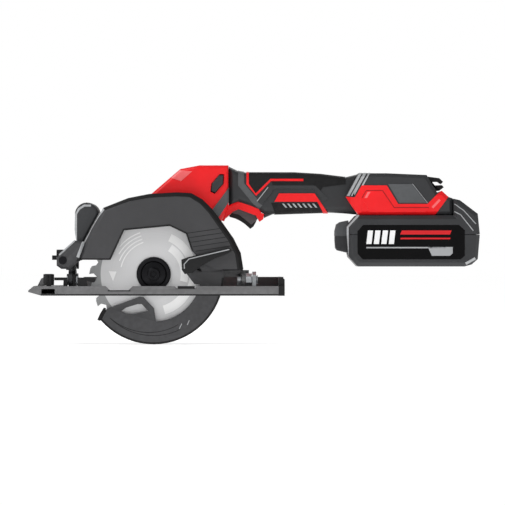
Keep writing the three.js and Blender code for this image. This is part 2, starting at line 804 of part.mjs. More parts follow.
function coolingFan() {
  const blades = 9;
  const hub = ringY(MOTOR_X, MOTOR_Z, 7, 3.3, 33, 42, 16);
  const disc = ringY(MOTOR_X, MOTOR_Z, 22.5, 6, 33, 34.4, 24);
  const vanes = Array.from({ length: blades }, (_, i) => {
    const vane = new THREE.BoxGeometry(15, 8, 1.3);
    vane.translate(14, 37.8, 0).rotateY((2 * Math.PI * i) / blades);
    return toSolid(vane.translate(MOTOR_X, 0, MOTOR_Z));
  });
  return join(hub, disc, ...vanes);
}

part("motor_case", motorCase(), FINISH.grayPlastic);
part("motor_end_cap", motorEndCap(), FINISH.blackPlastic);
part("stator", stator(), FINISH.darkSteel);
part("windings", windings(), FINISH.copper);
part("rotor_core", ringY(MOTOR_X, MOTOR_Z, MOTOR.rotor, 3.5, 2, 26, 24), FINISH.darkSteel);
part("rotor_shaft", rotorShaft(), FINISH.steel);
part("rotor_bearing_front", bearing(MOTOR_X, MOTOR_Z, 7, 3.5, -12.6, -8.6), FINISH.steel);
part("rotor_bearing_rear", bearing(MOTOR_X, MOTOR_Z, 7, 3.3, 48.6, 53), FINISH.steel);
part("cooling_fan", coolingFan(), FINISH.blackPlastic);

// ---- lower guard ----
// The near wall's fin, from its front tip over the peak and down to the ring's inner edge.
const FIN = [
  [-44.3, -17.9],
  [-40.2, -11.3],
  [-12.1, -1],
  [-8.9, -1.5],
  [0.4, -11.3],
];
const FIN_WINDOW = [
  [-28.4, -13.8],
  [-24.3, -10.8],
  [-14, -7.7],
  [-10.4, -7.7],
  [-4.8, -13.8],
  [-7.9, -14.4],
  [-18.1, -16.4],
  [-24.3, -15.9],
];

function lowerGuard() {
  const { outer, inner, half, wall, front, rear } = LOWER_GUARD;
  const near = BLADE.y - half;
  const far = BLADE.y + half;
  const steps = 26;
  const outside = arc(0, ARBOR_Z, outer, front, rear, steps);
  const ring = [...outside, ...arc(0, ARBOR_Z, inner, rear, -87, 14), ...FIN.slice().reverse()];
  const rimInside = arc(0, ARBOR_Z, outer - wall, rear, front, steps);
  const back = [...outside, [18, ARBOR_Z + 4], [-14, ARBOR_Z - 14]];
  const leverTab = [[42.5, 10], [42.5, 21.6], [36, 31.6], [27, 31.6], [27, 22], [36, 10]];
  const hubOuter = 20;
  const body = join(
    cut(plateY(ring, near, near + wall), plateY(FIN_WINDOW, near - 1, near + wall + 1)),
    plateY([...outside, ...rimInside], near, far),
    plateY(back, far - wall, far),
    rodY(0, ARBOR_Z, hubOuter, far - wall, far, 32),
    plateY(leverTab, near, near + wall),
    rodY(31, 27, 3.6, UPPER_GUARD.near - GAP, near + wall, 16),
  );
  return cut(body, rodY(0, ARBOR_Z, HUB + GAP, far - wall - 1, far + 1, 32));
}

// The finger lever, which stands outside the upper guard and turns with the lower one.
function guardLever() {
  const near = -51;
  const y1 = UPPER_GUARD.near - 2 * GAP;
  const blade = plateY(
    [
      [24.7, 31.7], [30.4, 33.8], [66.5, 42.2], [69.3, 39.4], [63.5, 36.2], [54, 32.6], [43, 26.5],
      [35, 20.3], [27.6, 18.9], [25.2, 22.5],
    ],
    near,
    y1,
    0.8,
  );
  return blade;
}

// A rubber strip on the near wall's front end, clear of the blade.
function guardBumper() {
  const near = BLADE.y - LOWER_GUARD.half;
  return plateY(
    [[-47.6, -22.6], [-45.1, -17.2], [-41.8, -11.6], [-43.8, -10.6], [-47.2, -16], [-49.8, -21.6]],
    near - GAP,
    near + 2.8,
  );
}

part("lower_guard", lowerGuard(), FINISH.casting);
part("guard_lever", guardLever(), FINISH.blackPlastic);
part("guard_bumper", guardBumper(), FINISH.rubber);

// ---- housings and handle ----
// The two halves of a body split along the middle plane.
function halves(body) {
  const reach = 400;
  const left = box(-reach, reach, -reach, -GAP / 2, -reach, reach);
  const right = box(-reach, reach, GAP / 2, reach, -reach, reach);
  return { left: body.intersect(left), right: body.intersect(right) };
}

// The red cover over the motor's front, from the guard up to the handle's neck.
function motorCover() {
  const outside = [
    [-3, 89.5], [-20, 64], [-22, 50], [48, 50], [60, 66], [66, 80], [66, 115.4], [40.5, 115.4],
    [23.3, 112.1],
  ];
  const inside = [
    [0, 86], [-16.5, 64], [-18, 40], [45, 40], [56.5, 66], [62.5, 80], [62.5, 112], [41, 112],
    [25, 109],
  ];
  const guideChannel = plateY(
    [
      ...arc(DEPTH.x, DEPTH.z, DEPTH.clamp + 5.3, -10, 28.6, 12),
      ...arc(DEPTH.x, DEPTH.z, DEPTH.clamp - 6, 30.6, -10, 12),
    ],
    COVER_NEAR - 1,
    -19.4,
  );
  return cut(
    plateY(outside, COVER_NEAR, HANDLE_HALF, 3.5),
    plateY(inside, COVER_NEAR + WALL, HANDLE_HALF - WALL),
    rodY(MOTOR_X, MOTOR_Z, MOTOR.case + GAP, MOTOR.y0 - 4, HANDLE_HALF + 1, 40),
    plateY(gearCaseOutline(15.6, 24.3), COVER_NEAR - 1, MOTOR.y0 + 1),
    guideChannel,
    buttonHole(),
  );
}

const LOCK_OFF = { x: 57.4, z: 102.6 };

// The lock-off button: a slanted six-sided bar that slides across the body.
function lockOffOutline(grow) {
  const outline = [[-6.6, -2.1], [-5.9, 4.4], [0.6, 11.9], [4.1, 11.9], [3.7, 4.4], [-3.2, -3.6]];
  const middle = { x: -1.2, z: 4.2 };
  const scale = 1 + grow / 6;
  return outline.map(([x, z]) => [
    LOCK_OFF.x + middle.x + (x - middle.x) * scale,
    LOCK_OFF.z - 8 + middle.z + (z - middle.z) * scale,
  ]);
}

function buttonHole() {
  return plateY(lockOffOutline(0.7), COVER_NEAR - 1, HANDLE_HALF + 1);
}

// The handle's neck and grip, with a rounded section, hollow for the switch and wires.
function handleBody() {
  const neckTop = 108.9;
  const outside = [
    [66.3, 114.4], [75.2, 110.2], [82.7, neckTop], [124.4, neckTop], [147.6, 107.5], [169.7, 104.8],
    [HANDLE_END, 107.6], [HANDLE_END, 71.8], [168, 72.9], [152, 73.7], [103.9, 72.1], [97.5, 72.4],
    [92, 76], [75.2, 82], [66.3, 78],
  ];
  const inside = [
    [60, 106], [124, 105.2], [190, 100.5], [190, 77], [152, 78], [104, 76.4], [98.6, 76.3],
    [92, 80], [75.6, 85.6], [60, 84],
  ];
  const trigger = box(66, 96, -6.6, 6.6, 60, 86);
  const heel = plateY([[97.5, 68.6], [106, 72.4], [106, 78], [97.5, 78]], -13.5, 13.5, 1);
  return cut(
    join(plateY(outside, -HANDLE_HALF, HANDLE_HALF, 6), heel),
    plateY(inside, 4 - HANDLE_HALF, HANDLE_HALF - 4),
    trigger,
  );
}

// The red bow round the trigger, joined across in front of it.
function triggerBezel() {
  const bow = [
    [66.4, 77.3], [75.2, 81], [91.6, 74.9], [97, 71.6], [96.4, 67.9], [93.8, 66], [90.6, 71.2],
    [75, 77], [69.6, 74.6], [62, 67.5],
  ];
  return cut(plateY(bow, -15, 15), box(66.2, 99, -7, 7, 60, 90));
}

const TRIGGER = { x: 70, z: 80 };

// The trigger seen from the side: a curved front for the finger, hung at its upper front corner.
function triggerShape() {
  const side = [
    [67.2, 82], [73, 83], [80, 80], [89, 73.2], [92.2, 68.5], [88.1, 61.2], [85.4, 59.2], [80.8, 63.4],
    [76.3, 66.4], [72, 68.4], [67, 69.8],
  ];
  return cut(plateY(side, -6, 6, 0.8), rodY(TRIGGER.x, TRIGGER.z, 1.5, -7, 7, 12));
}

function switchBody() {
  const body = box(97, 118, -9, 9, 80.5, 97);
  const plunger = box(93.2, 97.1, -3, 3, 88.5, 92.5);
  const lugs = [-5, 0, 5].map((y) => box(117.9, 122, y - 1, y + 1, 90, 91));
  return join(body, plunger, ...lugs);
}

function controllerBoard() {
  const top = 97;
  const board = box(14, 50, -13, 13, top - 1.6, top);
  const parts = Array.from({ length: 6 }, (_, i) => {
    const x = 18 + 5 * i;
    return box(x, x + 3.4, -4.5, 4.5, top - 0.1, top + 1.8);
  });
  const capacitor = rodY(40, top + 5.2, 3.6, -11.5, 11.5, 16).add(box(38, 42, -11, 11, top - 0.1, top + 3));
  return join(board, ...parts, capacitor);
}

function lockOffButton() {
  return plateY(lockOffOutline(0), COVER_NEAR - 1.6, HANDLE_HALF - 6, 0.5);
}

// The pin that stops the gear wheel for a blade change, with its thumb button in front.
function spindleLock() {
  const { y, pin, head } = SPINDLE_LOCK;
  return join(
    rodX(y, ARBOR_Z, pin, -27, -15.6, 12),
    rodX(y, ARBOR_Z, head, -30, -26.9, 18),
    rodX(y, ARBOR_Z, head - 1.4, -30.8, -29.9, 18),
  );
}

// The front horn, a rounded bar across the saw above the depth hinge.
function frontGrip() {
  const outline = [
    [-66.8, 37.3], [-60.2, 51], [-51.8, 66.7], [-49.2, 71.2],
    ...arc(-59.1, 71.5, 10.7, 10, 170, 10),
    [-69.9, 58],
  ];
  return plateY(outline, -38.4, 16, 3.4, 3);
}

const CLAMP = { x: DEPTH.x + DEPTH.clamp, z: DEPTH.z, length: 22 };

// The depth clamp: a bolt through the guide's slot and a lever that turns it.
function depthLever() {
  const y0 = -19.5;
  const y1 = -14;
  const tip = { x: CLAMP.x + CLAMP.length, z: CLAMP.z + 4 };
  const arm = [
    [CLAMP.x, CLAMP.z - 5], ...arc(tip.x, tip.z, 3.2, -70, 90, 6), [CLAMP.x, CLAMP.z + 5],
  ];
  return join(
    rodY(CLAMP.x, CLAMP.z, 2, -24.2, y1, 16),
    rodY(CLAMP.x, CLAMP.z, 5.6, y0, y1, 24),
    plateY(arm, y0 + 1, y1, 0.8),
  );
}

const COVER = halves(motorCover());
part("motor_cover_left", COVER.left, FINISH.redPlastic);
part("motor_cover_right", COVER.right, FINISH.redPlastic);
const HANDLE = halves(handleBody());
part("handle_left", HANDLE.left, FINISH.grayPlastic);
part("handle_right", HANDLE.right, FINISH.grayPlastic);

// ---- battery adapter ----
function adapterBody() {
  const outside = [
    [170, 87.6], [181.1, 108.1], [206.1, 108.1], [241.6, 106.6], [250.8, 91.2], [255, 92],
    [260, 87.4], [264.7, 85.9], [264.7, 71.3], [181.7, 71.3],
  ];
  const fromAbove = [[168, 21], [174.5, 28], [186, 35], [268, 35]];
  const taper = [...fromAbove, ...fromAbove.map(([x, y]) => [x, -y]).reverse()];
  const shell = chamferedY(outside, -ADAPTER_HALF, ADAPTER_HALF, 3).intersect(plateZ(taper, 60, 120));
  const hollow = plateY(
    [[176, 88], [184, 104], [205, 104], [209, 102.6], [238, 102.6], [247, 86], [184, 86]],
    4 - ADAPTER_HALF,
    ADAPTER_HALF - 4,
  );
  const throat = box(165, HANDLE_END + GAP, -HANDLE_HALF - GAP, HANDLE_HALF + GAP, 70, 109);
  const channel = box(184, 270, -24.5, 24.5, 70, 81);
  return cut(shell, hollow, throat, channel, box(196, 240, -16, 16, 80, 88));
}

const ADAPTER = halves(adapterBody());
part("adapter_left", ADAPTER.left, FINISH.grayPlastic);
part("adapter_right", ADAPTER.right, FINISH.grayPlastic);
part("front_grip", frontGrip(), FINISH.grayPlastic);
part("depth_lever", depthLever(), FINISH.blackPlastic);
part("trigger_bezel", triggerBezel(), FINISH.redPlastic);
part("trigger", triggerShape(), FINISH.blackPlastic);
part("lock_off_button", lockOffButton(), FINISH.blackPlastic);
part("spindle_lock", spindleLock(), FINISH.blackPlastic);
part("switch_body", switchBody(), FINISH.blackPlastic);
part("controller_board", controllerBoard(), FINISH.board);

// The block of contact blades at the front of the adapter's channel.
function terminalBlock() {
  const block = box(184.5, 192, -20, 20, 73, 80.6);
  const blades = [-12, -4, 4, 12].map((y) => box(191.9, 198.4, y - 0.5, y + 0.5, 74, 79));
  return join(block, ...blades);
}

// A small sprung clip behind the adapter that holds the blade key.
function keyClip() {
  const outline = [
    [242.9, 105.6], [253.8, 104.2], [257.2, 100.9], [255.4, 98.9], [252.4, 101], [247.8, 100.9],
    [248, 97.6], [256.2, 98], [257.9, 96], [253.8, 92.9], [250, 92.9],
  ];
  return plateY(outline, -9, 9);
}

part("terminal_block", terminalBlock(), FINISH.blackPlastic);
part("key_clip", keyClip(), FINISH.blackPlastic);

// ---- battery ----
// Both shells as one body seen from the side, with the raised heel at the back.
function batteryBody() {
  const outside = [
    [180.5, 25.5], [275, 25.5], [281.4, 27.3], [286.8, 32], [288.6, 54], [286.8, 72.2], [271, 84.2],
    [265.3, 85.6], [265.3, 70.9], [179.2, 70.9], [170.4, 61], [172.6, 34],
  ];
  return chamferedY(outside, -BATTERY_HALF, BATTERY_HALF, 3.4);
}

function batteryShells() {
  const cells = { x0: 178.2, x1: 282.6, half: 34, z0: 28.6, z1: 67.4 };
  const rail = join(
    box(196, 266, -14, 14, 70, 79.6),
    box(196, 266, -23.8, 23.8, 75.4, 79.6),
    box(196, 266, -19, 19, 70, 73.4),
  );
  const contacts = [-12, -4, 4, 12].map((y) => box(195, 202, y - 1, y + 1, 73.6, 80.5));
  const pocket = box(165, 176.4, -15.4, 15.4, 36.8, 67);
  const hollow = box(cells.x0, cells.x1, -cells.half, cells.half, cells.z0, cells.z1);
  const body = cut(join(batteryBody(), rail), hollow, pocket, ...contacts);
  const reach = 400;
  return {
    bottom: body.intersect(box(0, reach, -reach, reach, 0, SEAM_Z - GAP / 2)),
    top: body.intersect(box(0, reach, -reach, reach, SEAM_Z + GAP / 2, reach)),
  };
}

function cell(index) {
  const { radius, length, pitch, x, z } = CELL;
  const end = length / 2;
  return turnedY(
    [
      [0, -end], [radius - 0.6, -end], [radius, -end + 0.6], [radius, end - 1], [radius - 1, end - 1],
      [radius - 5, end - 1], [radius - 5, end], [0, end],
    ],
    x + pitch * index,
    z,
    14,
  );
}

// The sprung latch button at the battery's nose, in two steps.
function releaseButton() {
  const outline = [
    [172.8, 37.4], [162.7, 39.8], [161.2, 42], [160.7, 49], [160.8, 57], [162.2, 62.8], [165, 64.8],
    [172.8, 66.4],
  ];
  return plateY(outline, -15, 15, 1);
}

const BATTERY = batteryShells();
part("battery_case_bottom", BATTERY.bottom, FINISH.grayPlastic);
part("battery_case_top", BATTERY.top, FINISH.grayPlastic);
for (let i = 0; i < CELL.count; i += 1) part(`battery_cell_${i + 1}`, cell(i), FINISH.cellWrap);
part("battery_release", releaseButton(), FINISH.grayPlastic);

export default saw;
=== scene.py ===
"""Looks of the cordless circular saw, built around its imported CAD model.

The CAD nodes keep their shapes: modifiers round their edges and procedural materials finish
them. Trims, labels, rubber and fasteners are made here, and each rides on the body it sits on.
"""

import json
import math

import bmesh
import bpy
from mathutils import Matrix, Vector
from mathutils.bvhtree import BVHTree


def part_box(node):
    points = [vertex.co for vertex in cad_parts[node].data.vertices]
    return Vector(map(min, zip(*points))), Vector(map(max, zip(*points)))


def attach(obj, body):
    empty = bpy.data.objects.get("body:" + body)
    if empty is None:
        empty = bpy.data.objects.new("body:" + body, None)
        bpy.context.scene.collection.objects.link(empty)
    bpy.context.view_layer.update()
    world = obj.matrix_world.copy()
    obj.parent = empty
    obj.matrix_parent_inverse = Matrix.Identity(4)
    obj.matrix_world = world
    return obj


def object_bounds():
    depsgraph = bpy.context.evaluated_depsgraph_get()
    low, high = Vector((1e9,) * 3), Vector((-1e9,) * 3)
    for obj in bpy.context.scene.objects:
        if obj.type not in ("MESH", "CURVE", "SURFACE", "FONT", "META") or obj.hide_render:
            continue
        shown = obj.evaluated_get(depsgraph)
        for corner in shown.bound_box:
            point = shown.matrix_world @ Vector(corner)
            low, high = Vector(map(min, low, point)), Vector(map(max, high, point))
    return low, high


MM = 0.001

# ---- colours (sRGB) and finishes ----
CASTING_GRAY = "39393b"
BASE_GRAY = "666667"
PLASTIC_GRAY = "333436"
RUBBER_BLACK = "111112"
HOUSING_RED = "f5161c"

# ---- camera: the photograph's side view ----
VIEW_CENTRE = (0.0874, 0.0379)  # x and z that the camera looks at
VIEW_WIDTH = 0.451
LENS = 300
SENSOR = 36
FLOOR_GAP = 0.0004
FLOOR_GLOW = 0.68
WORLD_LIGHT = 0.35

STREAK_SCALE = 700  # noise scale of the streaks in bare metal
WELD_DISTANCE = 0.002 * MM  # vertices closer than this are one
FLAT_ANGLE = 1.5  # degrees below which neighbouring faces count as one
NODE_CREASE = 28  # degrees between faces from which a node's edge is rounded

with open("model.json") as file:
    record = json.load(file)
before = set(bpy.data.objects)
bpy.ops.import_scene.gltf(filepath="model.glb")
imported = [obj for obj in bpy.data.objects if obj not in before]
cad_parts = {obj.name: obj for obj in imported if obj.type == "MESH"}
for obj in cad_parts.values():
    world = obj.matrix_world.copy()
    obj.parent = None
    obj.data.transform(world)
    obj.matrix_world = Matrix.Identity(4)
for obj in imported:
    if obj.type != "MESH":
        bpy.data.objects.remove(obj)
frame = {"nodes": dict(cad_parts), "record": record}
nodes = frame["nodes"]
cad_box = [list(corner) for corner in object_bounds()]


# ---- materials ----
def linear(code):
    """A Blender colour from an sRGB hex code."""
    channels = [int(code[i : i + 2], 16) / 255 for i in (0, 2, 4)]
    return [
        c / 12.92 if c <= 0.04045 else ((c + 0.055) / 1.055) ** 2.4 for c in channels
    ] + [1.0]


def scaled(colour, factor):
    """The colour made lighter or darker."""
    return [min(1.0, c * factor) for c in colour[:3]] + [1.0]


class Paint:
    """A material's node tree, with short calls for the nodes used here."""

    def __init__(self, name):
        self.material = bpy.data.materials.new(name)
        self.material.use_nodes = True
        self.tree = self.material.node_tree
        self.tree.nodes.clear()
        output = self.node("ShaderNodeOutputMaterial")
        self.shader = self.node("ShaderNodeBsdfPrincipled")
        self.link(self.shader.outputs["BSDF"], output.inputs["Surface"])
        self.place = self.node("ShaderNodeTexCoord").outputs["Object"]

    def node(self, kind, **settings):
        made = self.tree.nodes.new(kind)
        for key, value in settings.items():
            setattr(made, key, value)
        return made

    def link(self, source, target):
        self.tree.links.new(source, target)

    def set(self, **values):
        for key, value in values.items():
            self.shader.inputs[key.replace("_", " ").title().replace("Ior", "IOR")].default_value = value

    def noise(self, scale, detail=2.0, roughness=0.5, place=None):
        made = self.node("ShaderNodeTexNoise")
        made.inputs["Scale"].default_value = scale
        made.inputs["Detail"].default_value = detail
        made.inputs["Roughness"].default_value = roughness
        self.link(place or self.place, made.inputs["Vector"])
        return made.outputs["Fac"]

    def spread(self, value, low, high, to_low, to_high):
        """The value's range low..high, mapped to to_low..to_high."""
        made = self.node("ShaderNodeMapRange")
        for key, number in zip(("From Min", "From Max", "To Min", "To Max"), (low, high, to_low, to_high)):
            made.inputs[key].default_value = number
        self.link(value, made.inputs["Value"])
        return made.outputs["Result"]

    def math(self, operation, first, second=None):
        made = self.node("ShaderNodeMath", operation=operation)
        for socket, value in zip(made.inputs, (first, second)):
            if value is None:
                continue
            if isinstance(value, (int, float)):
                socket.default_value = value
            else:
                self.link(value, socket)
        return made.outputs[0]

    def mix(self, factor, first, second):
        """A colour between two colours or colour sockets."""
        made = self.node("ShaderNodeMix", data_type="RGBA")
        self.link(factor, made.inputs["Factor"])
        for socket, value in ((made.inputs[6], first), (made.inputs[7], second)):
            if isinstance(value, list):
                socket.default_value = value
            else:
                self.link(value, socket)
        return made.outputs[2]

    def mottled(self, colour, scale, amount):
        """The colour with soft lighter and darker areas."""
        shade = self.spread(self.noise(scale, 3.0), 0.3, 0.7, 0.0, 1.0)
        return self.mix(shade, scaled(colour, 1 - amount), scaled(colour, 1 + amount))

    def worn_and_highlit(self, colour, wear_and_highlight_colour, amount):
        """The colour made lighter where the surface bulges: partly rubbed wear, partly painted highlight
        along the edges.
        """
        bulge = self.node("ShaderNodeNewGeometry").outputs["Pointiness"]
        patchy = self.spread(self.noise(260, 2.0), 0.35, 0.65, 0.4, 1.0)
        # Edges are lightened: rubbed wear and painted highlight together.
        rubbed_and_highlit = self.math("MULTIPLY", self.spread(bulge, 0.51, 0.56, 0.0, amount), patchy)
        return self.mix(rubbed_and_highlit, colour, wear_and_highlight_colour)

    def bumps(self, height, depth):
        made = self.node("ShaderNodeBump")
        made.inputs["Strength"].default_value = 1.0
        made.inputs["Distance"].default_value = depth
        self.link(height, made.inputs["Height"])
        self.link(made.outputs["Normal"], self.shader.inputs["Normal"])

    def colour(self, socket):
        self.link(socket, self.shader.inputs["Base Color"])

    def rough(self, scale, low, high):
        self.link(self.spread(self.noise(scale, 3.0), 0.3, 0.7, low, high), self.shader.inputs["Roughness"])


def plastic(name, code, rough, grain, depth, wear=0.25, shine=0.35):
    """Moulded plastic: a spark-eroded grain, faint mottling, and edges made lighter by rubbing and by painted
    highlight.
    """
    paint = Paint(name)
    colour = linear(code)
    paint.colour(paint.worn_and_highlit(paint.mottled(colour, 45, 0.07), scaled(colour, 1.9), wear))
    paint.rough(160, rough - 0.05, rough + 0.06)
    paint.bumps(paint.noise(grain, 2.0, 0.6), depth)
    paint.set(specular_ior_level=shine)
    return paint.material


def rubber(name, code):
    """Overmoulded soft rubber: matt, finely pebbled."""
    paint = Paint(name)
    colour = linear(code)
    paint.colour(paint.mottled(colour, 60, 0.12))
    paint.rough(200, 0.62, 0.78)
    paint.bumps(paint.noise(2600, 1.0), 0.00008)
    paint.set(specular_ior_level=0.35)
    return paint.material


def casting(name, code, rough, metallic):
    """Powder-coated die casting: orange-peel skin, lighter where it is knocked and where its edges carry
    painted highlight.
    """
    paint = Paint(name)
    colour = linear(code)
    paint.colour(paint.worn_and_highlit(paint.mottled(colour, 35, 0.08), scaled(colour, 2.2), 0.35))
    paint.rough(120, rough - 0.06, rough + 0.08)
    paint.bumps(paint.noise(1300, 2.0, 0.6), 0.00006)
    paint.set(metallic=metallic)
    return paint.material


def metal(name, code, rough):
    """Bare or blackened steel with fine streaks, and edges made lighter by wear and by painted highlight."""
    paint = Paint(name)
    colour = linear(code)
    paint.colour(paint.worn_and_highlit(paint.mottled(colour, 90, 0.1), scaled(colour, 1.5), 0.4))
    stretch = paint.node("ShaderNodeVectorMath", operation="MULTIPLY")
    stretch.inputs[1].default_value = (0.1, 1.0, 1.0)
    paint.link(paint.place, stretch.inputs[0])
    paint.bumps(paint.noise(STREAK_SCALE, 2.0, 0.5, stretch.outputs["Vector"]), 0.00003)
    paint.rough(300, rough - 0.06, rough + 0.08)
    paint.set(metallic=1.0)
    return paint.material


def blade_steel():
    """Ground steel: rings of grinding marks round the arbor, a bare rim outside the printed disc."""
    paint = Paint("blade_steel")
    middle = sum(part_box("saw_blade"), Vector()) / 2
    apart = paint.node("ShaderNodeSeparateXYZ")
    paint.link(paint.place, apart.inputs["Vector"])
    across = paint.math("SUBTRACT", apart.outputs["X"], middle.x)
    up = paint.math("SUBTRACT", apart.outputs["Z"], middle.z)
    radius = paint.math("SQRT", paint.math("ADD", paint.math("POWER", across, 2), paint.math("POWER", up, 2)))
    rings = paint.node("ShaderNodeCombineXYZ")
    paint.link(radius, rings.inputs["X"])
    grinding = paint.noise(1800, 2.0, 0.6, rings.outputs["Vector"])
    printed = paint.spread(radius, 0.0468, 0.0471, 0.0, 1.0)
    coated = paint.mix(grinding, linear("cfcfd0"), linear("e3e3e4"))
    bare = paint.mix(grinding, linear("8a8b8c"), linear("a3a4a5"))
    paint.colour(paint.mix(printed, coated, bare))
    paint.bumps(grinding, 0.00002)
    paint.rough(400, 0.32, 0.45)
    paint.set(metallic=0.35)
    return paint.material


MATERIALS = {
    "guard": casting("guard_casting", CASTING_GRAY, 0.5, 0.0),
    "base": casting("base_metal", BASE_GRAY, 0.42, 0.35),
    "gray": plastic("gray_plastic", PLASTIC_GRAY, 0.45, 1500, 0.00006),
    "red": plastic("red_plastic", HOUSING_RED, 0.36, 1900, 0.00003, 0.12),
    "rubber": rubber("rubber", RUBBER_BLACK),
    "black": plastic("black_plastic", "151516", 0.42, 1500, 0.00005, 0.3, 0.3),
    "steel": metal("steel", "b4b7ba", 0.42),
    "dark": metal("dark_steel", "262628", 0.36),
    "blade": blade_steel(),
    "trigger": plastic("trigger_plastic", "5f6062", 0.45, 1500, 0.00005),
    "copper": metal("copper", "b8693c", 0.35),
    "board": plastic("circuit_board", "1f4a33", 0.5, 900, 0.0001),
    "cell": plastic("cell_can", "3f6f9a", 0.4, 900, 0.00003),
}

# Each group of nodes: material, width in mm of the rounded edges, nodes
FINISHES = [
    ("base", 0.5, ["base_plate", "rear_tilt_bracket"]),
    ("guard", 0.9, ["upper_guard", "lower_guard", "gear_cover", "gear_housing"]),
    ("guard", 0.6, ["motor_case"]),
    ("black", 0.35, [
        "front_bevel_quadrant",
        "depth_guide",
        "fence_screw",
        "bevel_knob",
        "spindle_lock",
        "terminal_block",
        "switch_body",
        "cooling_fan",
        "depth_lever",
        "guard_lever",
        "key_clip",
    ]),
    ("gray", 0.6, [
        "front_tilt_bracket",
        "front_grip",
        "handle_left",
        "handle_right",
        "adapter_left",
        "adapter_right",
    ]),
    ("gray", 1.0, ["battery_case_bottom", "battery_case_top", "motor_end_cap"]),
    ("gray", 0.5, ["lock_off_button", "battery_release"]),
    ("red", 0.8, ["motor_cover_left", "motor_cover_right", "trigger_bezel"]),
    ("rubber", 0.4, ["guard_bumper"]),
    ("steel", 0.2, [
        "front_pivot_bolt",
        "rear_pivot_bolt",
        "rear_bevel_bracket",
        "guard_spring",
        "arbor_shaft",
        "arbor_gear",
        "arbor_bearing_front",
        "arbor_bearing_rear",
        "motor_pinion",
        "rotor_core",
        "rotor_shaft",
        "rotor_bearing_front",
        "rotor_bearing_rear",
        "stator",
    ]),
    ("dark", 0.3, ["inner_flange", "outer_flange", "blade_bolt", "depth_pivot_pin"]),
    ("blade", 0.12, ["saw_blade"]),
    ("copper", 0.2, ["windings"]),
    ("board", 0.2, ["controller_board"]),
    ("cell", 0.3, [f"battery_cell_{number}" for number in range(1, 6)]),
    ("trigger", 0.8, ["trigger"]),
]


def finish_node(name, material, bevel):
    """Gives a CAD node its material and rounds its hard edges."""
    node = nodes[name]
    mesh = node.data
    mesh.materials.clear()
    mesh.materials.append(material)
    if "custom_normal" in mesh.attributes:
        mesh.attributes.remove(mesh.attributes["custom_normal"])
    mesh.shade_smooth()
    weld = node.modifiers.new("weld", "WELD")
    weld.merge_threshold = WELD_DISTANCE
    flatten = node.modifiers.new("flatten", "DECIMATE")
    flatten.decimate_type = "DISSOLVE"
    flatten.angle_limit = math.radians(FLAT_ANGLE)
    rounding = node.modifiers.new("rounding", "BEVEL")
    rounding.limit_method = "ANGLE"
    rounding.angle_limit = math.radians(NODE_CREASE)
    rounding.width = bevel * MM
    rounding.segments = 3
    rounding.harden_normals = True
    rounding.use_clamp_overlap = True
    weighted = node.modifiers.new("weighted", "WEIGHTED_NORMAL")
    weighted.keep_sharp = True


for kind, bevel, names in FINISHES:
    for name in names:
        finish_node(name, MATERIALS[kind], bevel)


# ---- pieces made on the surface of a node ----
MOST_SHELL = 1.6  # limit on how much further a corner is moved than a flat
NEAR, FAR = -1, 1  # the blade's side and the motor's side
TRIM_CREASE = 40  # degrees between faces from which a trim's edge is rounded
SIDE_ONLY = (30, 90)  # reach of trims on the flat sides of the wide parts
WHOLE_SAW = [(-200, -200), (400, -200), (400, 300), (-200, 300)]  # an outline round everything


def outline_prism(outline, y0, y1):
    """A closed prism through an outline in x and z, in mm."""
    work = bmesh.new()
    rings = [[work.verts.new((x * MM, y * MM, z * MM)) for x, z in outline] for y in (y0, y1)]
    count = len(outline)
    work.faces.new(rings[0])
    work.faces.new(list(reversed(rings[1])))
    for i in range(count):
        j = (i + 1) % count
        work.faces.new((rings[0][i], rings[1][i], rings[1][j], rings[0][j]))
    bmesh.ops.recalc_face_normals(work, faces=work.faces)
    return work


def swollen_copy(node, swell):
    """The node's welded mesh with its skin moved out by swell, in mm."""
    work = bmesh.new()
    work.from_mesh(nodes[node].data)
    bmesh.ops.remove_doubles(work, verts=work.verts, dist=WELD_DISTANCE)
    work.normal_update()
    shifts = [vert.normal * min(vert.calc_shell_factor(), MOST_SHELL) * swell * MM for vert in work.verts]
    for vert, shift in zip(work.verts, shifts):
        vert.co += shift
    return work


def as_object(work, name):
    """A scene object made from mesh work."""
    mesh = bpy.data.meshes.new(name)
    work.to_mesh(mesh)
    work.free()
    made = bpy.data.objects.new(name, mesh)
    bpy.context.scene.collection.objects.link(made)
    return made


def settle(made):
    """Applies the object's modifiers to its mesh."""
    graph = bpy.context.evaluated_depsgraph_get()
    result = bpy.data.meshes.new_from_object(made.evaluated_get(graph))
    old = made.data
    made.modifiers.clear()
    made.data = result
    bpy.data.meshes.remove(old)


def cut_to(piece, outline, y0, y1):
    """Keeps only what of the piece is inside an outline in x and z, between y0 and y1, in mm."""
    cutter = as_object(outline_prism(outline, y0, y1), "cutter")
    keep = piece.modifiers.new("keep", "BOOLEAN")
    keep.operation = "INTERSECT"
    keep.solver = "EXACT"
    keep.object = cutter
    settle(piece)
    mesh = cutter.data
    bpy.data.objects.remove(cutter)
    bpy.data.meshes.remove(mesh)


def soften(made, width):
    """Rounds the piece's hard edges."""
    made.data.shade_smooth()
    rounding = made.modifiers.new("rounding", "BEVEL")
    rounding.limit_method = "ANGLE"
    rounding.angle_limit = math.radians(TRIM_CREASE)
    rounding.width = width * MM
    rounding.segments = 2
    rounding.use_clamp_overlap = True
    rounding.harden_normals = True
    weighted = made.modifiers.new("weighted", "WEIGHTED_NORMAL")
    weighted.keep_sharp = True


def inlay(name, node, outline, material, slot, proud, side=NEAR, reach=(0.15, 90), edge=0.2):
    """A trim over part of a node: the node's skin, raised by proud, inside an outline in x and z.

    reach is how far from the middle plane the trim starts and ends, on the given side.
    """
    y0, y1 = sorted(side * y for y in reach)
    piece = as_object(swollen_copy(node, proud), name)
    cut_to(piece, outline, y0, y1)
    piece.data.materials.clear()
    piece.data.materials.append(material)
    soften(piece, edge)
    body = body_of(node)
    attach(piece, body)


def body_of(node):
    """The body that a CAD node belongs to."""
    bodies = frame["record"]["behaviour"]["bodies"]
    return next(body for body, members in bodies.items() if node in members)


